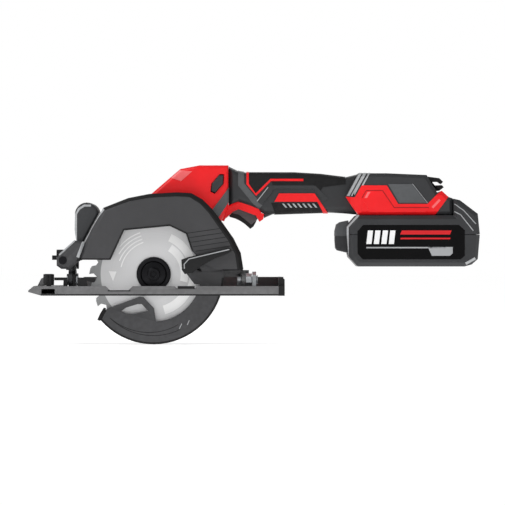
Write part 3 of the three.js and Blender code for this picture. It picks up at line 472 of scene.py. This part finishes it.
def both_sides(name, node, outline, *finish, **options):
    """The same trim on the left and right halves of a housing."""
    for side, half in ((NEAR, "left"), (FAR, "right")):
        inlay(f"{name}_{half}", f"{node}_{half}", outline, *finish, side=side, **options)


def arc(x, z, radius, start, end, steps):
    """Points on an arc, angles in degrees."""
    turns = [math.radians(start + (end - start) * i / steps) for i in range(steps + 1)]
    return [(x + radius * math.cos(t), z + radius * math.sin(t)) for t in turns]


def strip(points, width):
    """The outline of a band of even width along a line of points."""
    left, right = [], []
    for i, (x, z) in enumerate(points):
        before = points[max(i - 1, 0)]
        after = points[min(i + 1, len(points) - 1)]
        along = Vector((after[0] - before[0], after[1] - before[1])).normalized()
        left.append((x - along.y * width / 2, z + along.x * width / 2))
        right.append((x + along.y * width / 2, z - along.x * width / 2))
    return left + right[::-1]


def moved(outline, dx, dz):
    """The outline shifted by dx and dz."""
    return [(x + dx, z + dz) for x, z in outline]


# Light gray: the colour of light gray parts, and also used for painted highlights on edges and chamfers.
LIGHT_GRAY = plastic("light_gray_plastic", "a3a5a7", 0.35, 1500, 0.00004)
MID_GRAY = plastic("mid_gray_plastic", "535557", 0.42, 1500, 0.00005)
# Dark red, used only as painted shade on red plastic.
SHADE_RED = plastic("painted_shade_red", "8e0b10", 0.45, 1900, 0.00003)
# Light red, used only for painted highlights on red plastic.
HIGHLIGHT_RED = plastic("painted_highlight_red", "ff6a6c", 0.3, 1900, 0.00003)
LABEL_BLACK = plastic("label_black", "060607", 0.22, 700, 0.00001, 0.0, 0.12)
PRINT_WHITE = plastic("print_white", "fcfcfc", 0.4, 700, 0.00001, 0.0)
PRINT_RED = plastic("print_red", "d81820", 0.4, 700, 0.00001, 0.0)
PRINT_GRAY = plastic("print_gray", "a9abad", 0.4, 700, 0.00001, 0.0)
GROOVE = plastic("groove_black", "141415", 0.6, 900, 0.00002, 0.0)
RED = MATERIALS["red"]
GRAY = MATERIALS["gray"]
RUBBER = MATERIALS["rubber"]
BLACK = MATERIALS["black"]

ARBOR = tuple(c / MM for c in (sum(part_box("saw_blade"), Vector()) / 2).xz)
MOTOR_AXIS = (5.5, 33.8)
END_CAP_SCREW_RADIUS = 23
SCREW_RADIUS = 2.4
GUARD_TOP = [
    (-44.3, 77), (-22.2, 85.7), (-3.8, 89.3), (20.5, 90.7), (33.3, 90), (43.2, 84.4), (51.8, 75.8),
    (60.4, 64.4), (70.4, 50.2), (76.7, 37.4), (78.9, 23.1),
]


def handle_trims():
    """Rubber, the red stripe, the red panel and the ribs of the grip, on both halves."""
    rubber_top = [
        (84, 120), (84, 98.8), (90.6, 90.4), (103.8, 101.4), (105.4, 98), (141.4, 98), (147.4, 92.2),
        (150, 96), (170, 98.5), (170, 120),
    ]
    rubber_foot = [(104, 82), (144.6, 82), (150.8, 74.6), (151, 60), (107, 60), (107, 74)]
    stripe = strip([(83.1, 120), (83.1, 98.8), (90.4, 89.3), (103.6, 102.4), (132.7, 102.4)], 2.2)
    glint = strip([(91.4, 83.4), (101.3, 96)], 0.7)
    bezel_edge = [
        (58.6, 71), (63, 77), (68, 80.6), (74.5, 83), (82.6, 80.2), (91.7, 75.6), (96.8, 69.3), (94.5, 64.2),
        (88, 60), (60, 60),
    ]
    panel = [(110.9, 90.4), (142.6, 90.4), (156.4, 70), (151.8, 70), (145, 83), (106.8, 83)]
    neck_rib = [(74.6, 120), (74.6, 97.4), (88.4, 80.6), (93.4, 76.6), (96.2, 80), (80, 99.4), (80, 120)]
    band = [
        (91.4, 83.2), (95.4, 80.2), (104.6, 91), (106, 94.4), (141.4, 94.4), (150.6, 83.4), (154.6, 86),
        (143.2, 97.4), (103.2, 97.4),
    ]
    both_sides("handle_rubber_top", "handle", rubber_top, RUBBER, "rubber", 0.5)
    both_sides("handle_rubber_foot", "handle", rubber_foot, RUBBER, "rubber", 0.5)
    both_sides("handle_band", "handle", band, GRAY, "gray_plastic", 0.7, edge=0.4)
    both_sides("handle_glint", "handle", glint, LIGHT_GRAY, "gray_plastic", 0.9, edge=0.1)
    both_sides("handle_bezel_edge", "handle", bezel_edge, RED, "red_plastic", 0.4, edge=0.3)
    whole = [(40, 50), (40, 120), (120, 120), (120, 50)]
    for side, place in ((NEAR, "near"), (FAR, "far")):
        inlay(f"bezel_lip_{place}", "trigger_bezel", whole, RED, "red_plastic", 0.55, side, (6, 40), 0.2)
    both_sides("handle_neck_rib", "handle", neck_rib, MID_GRAY, "gray_plastic", 0.5, edge=0.4)
    both_sides("handle_stripe", "handle", stripe, RED, "red_plastic", 0.9)
    both_sides("handle_panel", "handle", panel, RED, "red_plastic", 1.0, edge=0.3)
    rib = [(113.6, 81.4), (115.4, 81.4), (118.4, 77.8), (116.6, 77.8)]
    for number in range(7):
        outline = moved(rib, 4.45 * number, 0)
        both_sides(f"handle_rib_{number + 1}", "handle", outline, LIGHT_GRAY, "gray_plastic", 0.9, edge=0.1)


def trigger_trims():
    """The trigger's black lower edge."""
    low, high = (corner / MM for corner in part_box("trigger"))
    foot = [
        (low.x - 1, 73), (67.6, 73.4), (75.4, 71.6), (86.3, 62.8), (88.4, 64.4), (94, 67.6), (high.x + 4, 50),
        (low.x - 1, 50),
    ]
    inlay("trigger_foot", "trigger", foot, BLACK, "black_plastic", 0.2, reach=(-30, 30), edge=0.2)


def cover_trims():
    """The gray band that runs down from the neck over the red cover, and a painted highlight on the cover's
    facet.
    """
    band = [(66.5, 95.6), (52, 76.2), (48.5, 70), (56.6, 68), (66.5, 82.8)]
    facet = [(14.8, 104.3), (22.6, 111), (34, 110), (24, 101.2)]
    both_sides("neck_band", "motor_cover", band, MID_GRAY, "gray_plastic", 0.8, edge=0.4)
    # A lighter red patch on the facet: painted highlight where it faces the light.
    both_sides("cover_highlight", "motor_cover", facet, HIGHLIGHT_RED, "red_plastic", 0.3)


def guard_trims():
    """The upper guard's top edge in black as painted shade, its front edges lightened as painted highlight,
    its window's edge darkened as painted shade, and its ribs.
    """
    x0, z0 = ARBOR
    last = len(GUARD_TOP) - 1
    inside = []
    for i, (x, z) in enumerate(GUARD_TOP):
        reach = math.hypot(x - x0, z - z0)
        scale = 1 - (2.0 + 2.8 * min(1, 1.4 * i / last)) / reach
        inside.append((x0 + (x - x0) * scale, z0 + (z - z0) * scale))
    outside = [(x0 + (x - x0) * 1.03, z0 + (z - z0) * 1.03) for x, z in GUARD_TOP]
    # A black band along the guard's top edge: painted shade where the rounded edge turns from the light.
    inlay("guard_edge_shade", "upper_guard", outside + inside[::-1], BLACK, "black_plastic", 0.35, reach=(28, 90))
    # Light gray strips on the front edge and the strut: painted highlights on chamfers that face the light.
    front = strip([(-66.8, 33.6), (-61.9, 46.6), (-55.4, 59.8), (-48.9, 70.6), (-44, 76.6)], 2.6)
    strut = strip([(-83.4, 36), (-69.6, 48.8)], 2.2)
    inlay("guard_front_highlight", "upper_guard", front, LIGHT_GRAY, "guard_casting", 0.25,
          reach=(38, 90), edge=0.3)
    inlay("guard_strut_highlight", "upper_guard", strut, LIGHT_GRAY, "guard_casting", 0.25,
          reach=SIDE_ONLY, edge=0.3)
    # A black strip round the window: painted shade on the bevel inside the window's edge.
    window = strip([(-37.9, 31.7), (-26, 57.6), (14.4, 61.4), (28.8, 54.5), (34, 39)], 2.8)
    inlay("guard_window_shade", "upper_guard", window, BLACK, "guard_casting", 0.2, reach=(38, 90), edge=0.1)
    foot = [(-68, 30), (-67, 32.6), (-38.4, 32.6), (-37, 30)]
    inlay("guard_front_foot", "upper_guard", foot, GROOVE, "black_plastic", 0.3, reach=(28, 90))
    for number in range(6):
        left = (27.5 + 2.4 * number, 54.6 - 3.9 * number)
        right = (62.5 + 1.9 * number, 59.6 - 3.9 * number)
        outline = strip([left, right], 0.45)
        inlay(f"guard_rib_{number + 1}", "upper_guard", outline, GROOVE, "guard_casting", 0.25,
              reach=(45, 90), edge=0.05)


def lower_guard_trims():
    """The lower guard's rim darkened as painted shade, its crescent of two grooves and its two scale marks.
    """
    x0, z0 = ARBOR
    # A dark band along the outer lip: painted shade on its rounded edge.
    rim = arc(x0, z0, 64, -139, -3, 40) + arc(x0, z0, 60.3, -3, -139, 40)
    inlay("lower_guard_rim_shade", "lower_guard", rim, GROOVE, "guard_casting", 0.15, reach=(28, 90), edge=0.05)
    inner = [(x0 + r * math.cos(t), z0 + r * math.sin(t)) for t, r in crescent(54.6, 49.6)]
    outer = [(x0 + r * math.cos(t), z0 + r * math.sin(t)) for t, r in crescent(54.6, 54.2)]
    for name, line in (("inner", inner), ("outer", outer)):
        outline = strip(line, 0.5)
        inlay(f"lower_guard_groove_{name}", "lower_guard", outline, GROOVE, "guard_casting", 0.12,
              reach=(38, 90), edge=0.05)
    for number, line in enumerate(([(22.7, -29.6), (25, -24.9)], [(29.8, -26), (31.6, -21.9)])):
        inlay(f"scale_mark_{number + 1}", "lower_guard", strip(line, 0.7), PRINT_GRAY, "guard_casting", 0.15,
              reach=(38, 90), edge=0.05)


def grip_trims():
    """Painted highlight on the front grip's left and upper edge, which face the light."""
    # Light gray strip: painted highlight.
    outline = strip([(-68.7, 45.8), (-68.7, 71.8), (-66.1, 76.4), (-61.2, 79.4), (-55.4, 79.4)], 1.9)
    for side, place, reach in ((NEAR, "near", (35, 60)), (FAR, "far", (12.6, 60))):
        inlay(f"grip_highlight_{place}", "front_grip", outline, LIGHT_GRAY, "gray_plastic", 0.2, side, reach, 0.2)


def slab(name, outline, y0, y1, material, body, edge=0.3):
    """A plate with the given outline in x and z, in mm, and softened edges."""
    piece = as_object(outline_prism(outline, y0, y1), name)
    piece.data.materials.append(material)
    soften(piece, edge)
    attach(piece, body)


def tongue(name, node, material):
    """The lip inside a housing's left half that closes the seam between the halves."""
    work = swollen_copy(node, -0.4)
    bmesh.ops.translate(work, vec=(0, MM, 0), verts=work.verts)
    piece = as_object(work, name)
    cut_to(piece, WHOLE_SAW, -0.8, 0.7)
    piece.data.materials.clear()
    piece.data.materials.append(material)
    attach(piece, "saw_head")


def tongues():
    """The lips at the middle seam of the red cover, the handle and the adapter."""
    tongue("motor_cover_tongue", "motor_cover_left", RED)
    tongue("handle_tongue", "handle_left", GRAY)
    tongue("adapter_tongue", "adapter_left", GRAY)


def screw(name, place, facing, radius, body):
    """A domed screw head with a six-pointed socket, its rim at place and pointing along facing."""
    segments = 24
    # Each ring, in parts of the radius: radius, height, and how deep the socket's star is drawn in
    rings = [
        (1, -0.3, 0),
        (1, 0.1, 0),
        (0.86, 0.28, 0),
        (0.56, 0.36, 0),
        (0.5, 0.33, 0.24),
        (0.46, -0.15, 0.24),
    ]
    work = bmesh.new()
    made = []
    for scale, height, star in rings:
        ring = []
        for i in range(segments):
            reach = radius * scale * (1 - star * (1 - math.cos(math.tau * 6 * i / segments)) / 2)
            angle = math.tau * i / segments
            ring.append(work.verts.new((reach * math.cos(angle), reach * math.sin(angle), radius * height)))
        made.append(ring)
    for lower, upper in zip(made, made[1:]):
        for i in range(segments):
            j = (i + 1) % segments
            work.faces.new((lower[i], lower[j], upper[j], upper[i]))
    work.faces.new(made[-1])
    work.faces.new(made[0][::-1])
    turn = Vector(facing).to_track_quat("Z", "Y").to_matrix().to_4x4()
    placed = Matrix.Scale(MM, 4) @ Matrix.Translation(place) @ turn
    bmesh.ops.transform(work, matrix=placed, verts=work.verts)
    piece = as_object(work, name)
    piece.data.materials.append(MATERIALS["dark"])
    soften(piece, 0.06)
    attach(piece, body)


def housing_screws():
    """Screws that hold the housing halves, on the motor's side, and the motor's end cap."""
    x0, z0 = MOTOR_AXIS
    ring = END_CAP_SCREW_RADIUS
    # Node, and the screws' places in x and z
    rows = [
        ("motor_cover_right", [(47, 107), (56, 74), (-6, 66)]),
        ("handle_right", [(71.5, 92), (99, 78), (166, 86)]),
        ("adapter_right", [(200, 102), (236, 101.5), (256, 77)]),
        ("motor_end_cap", [(x0 + ring, z0), (x0, z0 + ring), (x0 - ring, z0), (x0, z0 - ring)]),
    ]
    for node, places in rows:
        skin = BVHTree.FromObject(nodes[node], bpy.context.evaluated_depsgraph_get())
        for number, (x, z) in enumerate(places):
            hit = skin.ray_cast(Vector((x * MM, 0.2, z * MM)), Vector((0, -1, 0)))[0]
            screw(f"{node}_screw_{number + 1}", (x, hit.y / MM, z), (0, 1, 0), SCREW_RADIUS, "saw_head")


def seals():
    """Fillers where light would show through: neck, lock-off button, bezel, and the lower guard's ends."""
    neck = [(65.2, 81), (65.2, 112.6), (67.4, 112.6), (67.4, 84)]
    slab("neck_seal", neck, -15, 15, RUBBER, "saw_head")
    low, high = (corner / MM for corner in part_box("lock_off_button"))
    middle = ((low.x + high.x) / 2, (low.z + high.z) / 2)
    around = [(-8.6, -9.2), (-8.6, -1), (-0.4, 9.6), (7.4, 9.6), (7.4, -1), (-3, -9.2)]
    slab("lock_off_seal", moved(around, *middle), -5, 5, RUBBER, "saw_head")
    pad = strip([(-47.5, -22), (-43, -12.2)], 3.6)
    slab("guard_tip_pad", pad, -41.7, -38.8, RUBBER, "lower_guard", 0.9)
    arch = strip([(60.4, 66.4), (65.8, 78.2), (74.5, 81.4), (83.2, 79), (92, 75.2), (95.8, 69.4)], 3.4)
    slab("bezel_seal_near", arch, -15.3, -9, RED, "saw_head")
    slab("bezel_seal_far", arch, 9, 15.3, RED, "saw_head")
    x0, z0 = ARBOR
    heel = arc(x0, z0, 61.3, 2.4, 15, 4) + arc(x0, z0, 38.6, 15, 2.4, 4)
    slab("lower_guard_heel", heel, -41.5, -40, MATERIALS["guard"], "lower_guard", 0.1)


def crescent(start, end):
    """Angle and radius along a groove whose radius changes evenly from start to end."""
    steps = 16
    first, last = math.radians(-135), math.radians(-64)
    return [(first + (last - first) * i / steps, start + (end - start) * i / steps) for i in range(steps + 1)]


def blade_print():
    """The blade's print: three sweeps, four thin arcs and an arrow that shows which way it turns."""
    x0, z0 = ARBOR
    finish = {"proud": 0.08, "reach": (34.9, 60), "edge": 0.01}

    def sector(name, inner, outer, start, end, material):
        steps = max(2, int(abs(end - start) / 6))
        outline = arc(x0, z0, outer, start, end, steps) + arc(x0, z0, inner, end, start, steps)
        inlay(name, "saw_blade", outline, material, "blade_steel", **finish)

    sector("blade_sweep_inner", 24, 30.6, -14, 58, PRINT_WHITE)
    sector("blade_sweep_outer", 31.8, 38.8, -20, 66, PRINT_WHITE)
    sector("blade_lower_sweep", 29, 37, -74, -30, PRINT_WHITE)
    for number in range(4):
        inner = 29 + 3 * number
        sector(f"blade_tick_{number + 1}", inner, inner + 1, 108, 168 - 9 * number, PRINT_WHITE)
    corners = [(176, 33), (190, 36.5), (176, 40)]
    arrow = [arc(x0, z0, radius, angle, angle, 1)[0] for angle, radius in corners]
    inlay("blade_arrow", "saw_blade", arrow, PRINT_WHITE, "blade_steel", **finish)


def sole_trims():
    """The sole's lower edge and the notch's floor darkened as painted shade, and its rear cap."""
    edge = [(-99, -1), (-99, 1.2), (110.4, 1.2), (110.4, -1)]
    cap = [(110.4, -1), (110.4, 17), (117, 17), (117, -1)]
    # Dark strip along the sole's lower edge: painted shade of the underside.
    inlay("sole_edge_shade", "base_plate", edge, GROOVE, "base_metal", 0.12, reach=(51, 60), edge=0.05)
    inlay("sole_rear_cap", "base_plate", cap, BLACK, "base_metal", 0.25, reach=(47, 60), edge=0.1)
    stop = [(20, 5.9), (20, 8.8), (37, 8.8), (37, 5.9)]
    notch = [(-40, 3.7), (-40, 4.7), (-20, 4.7), (-20, 3.7)]
    # Dark strip on the notch's floor: painted shade inside the notch.
    inlay("sole_notch_shade", "base_plate", notch, GROOVE, "base_metal", 0.1, reach=(51, 60), edge=0.05)
    inlay("lever_stop", "base_plate", stop, BLACK, "base_metal", 0.1, reach=(53, 60), edge=0.05)


def lever_trims():
    """Painted highlight on the guard lever's upper ridge and front edge."""
    ridge = strip([(27.4, 23.6), (27.2, 27.6), (31.4, 32.2), (67, 40.6)], 0.9)
    inlay("lever_highlight", "guard_lever", ridge, LIGHT_GRAY, "gray_plastic", 0.25, reach=(46, 60), edge=0.1)


def adapter_trims():
    """The adapter's red and gray panels, painted shade round its raised panel, painted highlights on it, and
    light bands over its front taper as painted highlight.
    """
    red = [
        (170, 87.4), (180.6, 71), (249, 71), (261, 87.4), (255.6, 93), (250.9, 89.6), (242.3, 80.9),
        (216.3, 80.9), (206.3, 97.3), (184, 97.3), (178, 86.8),
    ]
    raised = [
        (184.6, 86), (188.2, 92.4), (202.4, 92.4), (212.6, 77.4), (243.4, 77.4), (240.4, 73.4), (190.8, 73.4),
    ]
    glint = [(186.4, 86.2), (189.4, 91.6), (191.8, 91.6), (188.8, 86.2)]
    gray = [(207.4, 98.6), (228.4, 98.6), (241.6, 81.8), (217.2, 81.8)]
    line = strip([(228.8, 98.8), (242.4, 81.6)], 0.4)
    both_sides("adapter_red_panel", "adapter", red, RED, "red_plastic", 0.5, edge=0.3)
    # A dark red line round the raised panel: painted shade where the panel steps up.
    groove = strip(raised[:5], 1.3)
    both_sides("adapter_groove_shade", "adapter", groove, SHADE_RED, "red_plastic", 0.7, reach=SIDE_ONLY, edge=0.1)
    both_sides("adapter_raised_panel", "adapter", raised, RED, "red_plastic", 1.0, reach=SIDE_ONLY, edge=0.4)
    # A lighter red glint and shine: painted highlights on the panels.
    shine = strip([(246.6, 77.6), (253.2, 84.6)], 2)
    both_sides("adapter_glint", "adapter", glint, HIGHLIGHT_RED, "red_plastic", 1.1, reach=SIDE_ONLY, edge=0.1)
    both_sides("adapter_shine", "adapter", shine, HIGHLIGHT_RED, "red_plastic", 0.6, reach=SIDE_ONLY, edge=0.1)
    both_sides("adapter_gray_panel", "adapter", gray, MID_GRAY, "gray_plastic", 0.6,
               reach=SIDE_ONLY, edge=0.3)
    both_sides("adapter_line", "adapter", line, LIGHT_GRAY, "gray_plastic", 0.7, reach=SIDE_ONLY, edge=0.05)
    # Light gray bands over the front taper: painted highlights on chamfers that face the light.
    across, up = 11.1, 20.5
    z = 88
    for number, (x, width) in enumerate(((170.8, 2.6), (174.6, 2.8), (179, 1.6))):
        band = [(x, z), (x + across, z + up), (x + across + width, z + up), (x + width, z)]
        both_sides(f"adapter_band_{number + 1}", "adapter", band, LIGHT_GRAY, "gray_plastic", 0.35,
                   reach=(19, 90))


def battery_trims():
    """The battery's plain label with generic bars, the heel's ridges and the latch's light half."""
    label = [
        (180.3, 37), (184.8, 31.9), (271.4, 31.9), (275, 35), (275, 57.6), (270, 62.2), (185.2, 62.2),
        (180.3, 56.6),
    ]
    # The label's bars: name, outline, material
    block = [(188, 45.4), (192.6, 45.4), (194, 57.4), (189.4, 57.4)]
    block_spacing = 6.6
    bars = [
        (f"label_block_{i + 1}", moved(block, block_spacing * i, 0), PRINT_WHITE)
        for i in range(4)
    ]
    bars += [
        ("label_red_bar", [(218, 53.8), (262, 53.8), (263.4, 57.4), (219.4, 57.4)], PRINT_RED),
        ("label_red_line", [(218, 49.6), (262, 49.6), (262.4, 51), (218.4, 51)], PRINT_RED),
        ("label_rule", [(188, 41.6), (258, 41.6), (258, 42.8), (188, 42.8)], PRINT_GRAY),
        ("label_tag", [(246, 35), (262, 35), (264.4, 37.2), (264.4, 42.8), (242.4, 42.8)], PRINT_GRAY),
    ]
    ridges = [
        [(266, 80.9), (274.2, 75), (285, 63.1)],
        [(266, 74.1), (271.4, 71.3), (282.6, 57.2)],
    ]
    # Light gray strips on the left edge, top chamfer and lower corner: painted highlights on the case's
    # edges.
    shoulder = strip([(171.6, 36), (171.6, 60.4), (181.4, 71.2)], 1.8)
    corner = strip([(276, 28), (284.4, 32.8)], 2.4)
    for side, place in ((NEAR, "near"), (FAR, "far")):
        inlay(f"battery_corner_highlight_{place}", "battery_case_bottom", corner, LIGHT_GRAY, "gray_plastic", 0.3,
              side, SIDE_ONLY, 0.1)
        for shell in ("bottom", "top"):
            node = f"battery_case_{shell}"
            inlay(f"battery_shoulder_{shell}_{place}", node, shoulder, LIGHT_GRAY, "gray_plastic", 0.25,
                  side, (34.4, 90), 0.1)
            inlay(f"label_{shell}_{place}", node, label, LABEL_BLACK, "black_plastic", 0.4,
                  side, SIDE_ONLY, 0.15)
            for name, outline, material in bars:
                if spans(outline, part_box(node)):
                    inlay(f"{name}_{shell}_{place}", node, outline, material, "black_plastic", 0.46,
                          side, SIDE_ONLY, 0.02)
        for number, points in enumerate(ridges):
            inlay(f"heel_ridge_{number + 1}_{place}", "battery_case_top", strip(points, 0.8), LIGHT_GRAY,
                  "gray_plastic", 0.4, side, SIDE_ONLY, 0.1)
    upper = [(150, 52.6), (150, 70), (172.4, 70), (172.4, 52.6)]
    inlay("latch_upper", "battery_release", upper, MID_GRAY, "gray_plastic", 0.2, NEAR, (-20, 20), 0.2)


def spans(outline, box):
    """Whether an outline in mm reaches into a box in metres."""
    heights = [z * MM for _, z in outline]
    return max(heights) > box[0].z and min(heights) < box[1].z


handle_trims()
trigger_trims()
cover_trims()
guard_trims()
lower_guard_trims()
grip_trims()
housing_screws()
tongues()
seals()
blade_print()
sole_trims()
lever_trims()
adapter_trims()
battery_trims()


# ---- stage, light and camera ----
def build_floor(low):
    """A wide pale floor at the height low, in metres."""
    mesh = bpy.data.meshes.new("floor")
    work = bmesh.new()
    bmesh.ops.create_circle(work, cap_ends=True, radius=14, segments=96)
    work.to_mesh(mesh)
    work.free()
    floor = bpy.data.objects.new("floor", mesh)
    floor.location = (0, 0, low)
    bpy.context.scene.collection.objects.link(floor)
    paint = Paint("floor")
    paint.colour(paint.mottled(linear("f4f4f4"), 0.5, 0.01))
    paint.rough(3, 0.85, 0.95)
    paint.set(specular_ior_level=0.1, emission_color=(1, 1, 1, 1), emission_strength=FLOOR_GLOW)
    mesh.materials.append(paint.material)


def build_light(name, place, aim, size, power):
    """A rectangular lamp, its power in watts."""
    data = bpy.data.lights.new(name, "AREA")
    data.shape = "RECTANGLE"
    data.size, data.size_y = size
    data.energy = power
    light = bpy.data.objects.new(name, data)
    light.location = place
    light.rotation_euler = (Vector(aim) - Vector(place)).to_track_quat("-Z", "Y").to_euler()
    bpy.context.scene.collection.objects.link(light)


def build_world():
    """Soft even light, and a white background where the camera sees it."""
    world = bpy.data.worlds.new("studio")
    world.use_nodes = True
    background = world.node_tree.nodes["Background"]
    background.inputs["Color"].default_value = (1, 1, 1, 1)
    background.inputs["Strength"].default_value = WORLD_LIGHT
    seen = world.node_tree.nodes.new("ShaderNodeBackground")
    seen.inputs["Color"].default_value = (1, 1, 1, 1)
    ray = world.node_tree.nodes.new("ShaderNodeLightPath")
    choose = world.node_tree.nodes.new("ShaderNodeMixShader")
    links = world.node_tree.links
    links.new(ray.outputs["Is Camera Ray"], choose.inputs["Fac"])
    links.new(background.outputs[0], choose.inputs[1])
    links.new(seen.outputs[0], choose.inputs[2])
    links.new(choose.outputs[0], world.node_tree.nodes["World Output"].inputs["Surface"])
    bpy.context.scene.world = world


def build_camera():
    """A long lens, square to the blade."""
    data = bpy.data.cameras.new("camera")
    data.lens = LENS
    data.sensor_width = SENSOR
    data.clip_end = 100
    camera = bpy.data.objects.new("camera", data)
    distance = VIEW_WIDTH * LENS / SENSOR
    camera.location = (VIEW_CENTRE[0], -distance, VIEW_CENTRE[1])
    camera.rotation_euler = (math.radians(90), 0, 0)
    bpy.context.scene.collection.objects.link(camera)
    bpy.context.scene.camera = camera


build_floor(cad_box[0][2] - FLOOR_GAP)
build_world()
build_light("key", (-0.75, -0.7, 1.1), (0.05, 0, 0.04), (0.6, 0.6), 9)
build_light("fill", (1.2, -1.2, 0.6), (0.1, 0, 0.04), (0.8, 0.8), 1.5)
build_light("back", (0.2, 1.2, 1.0), (0.1, 0, 0.05), (1.0, 0.6), 5)
build_camera()
bpy.context.scene.view_settings.view_transform = "Standard"
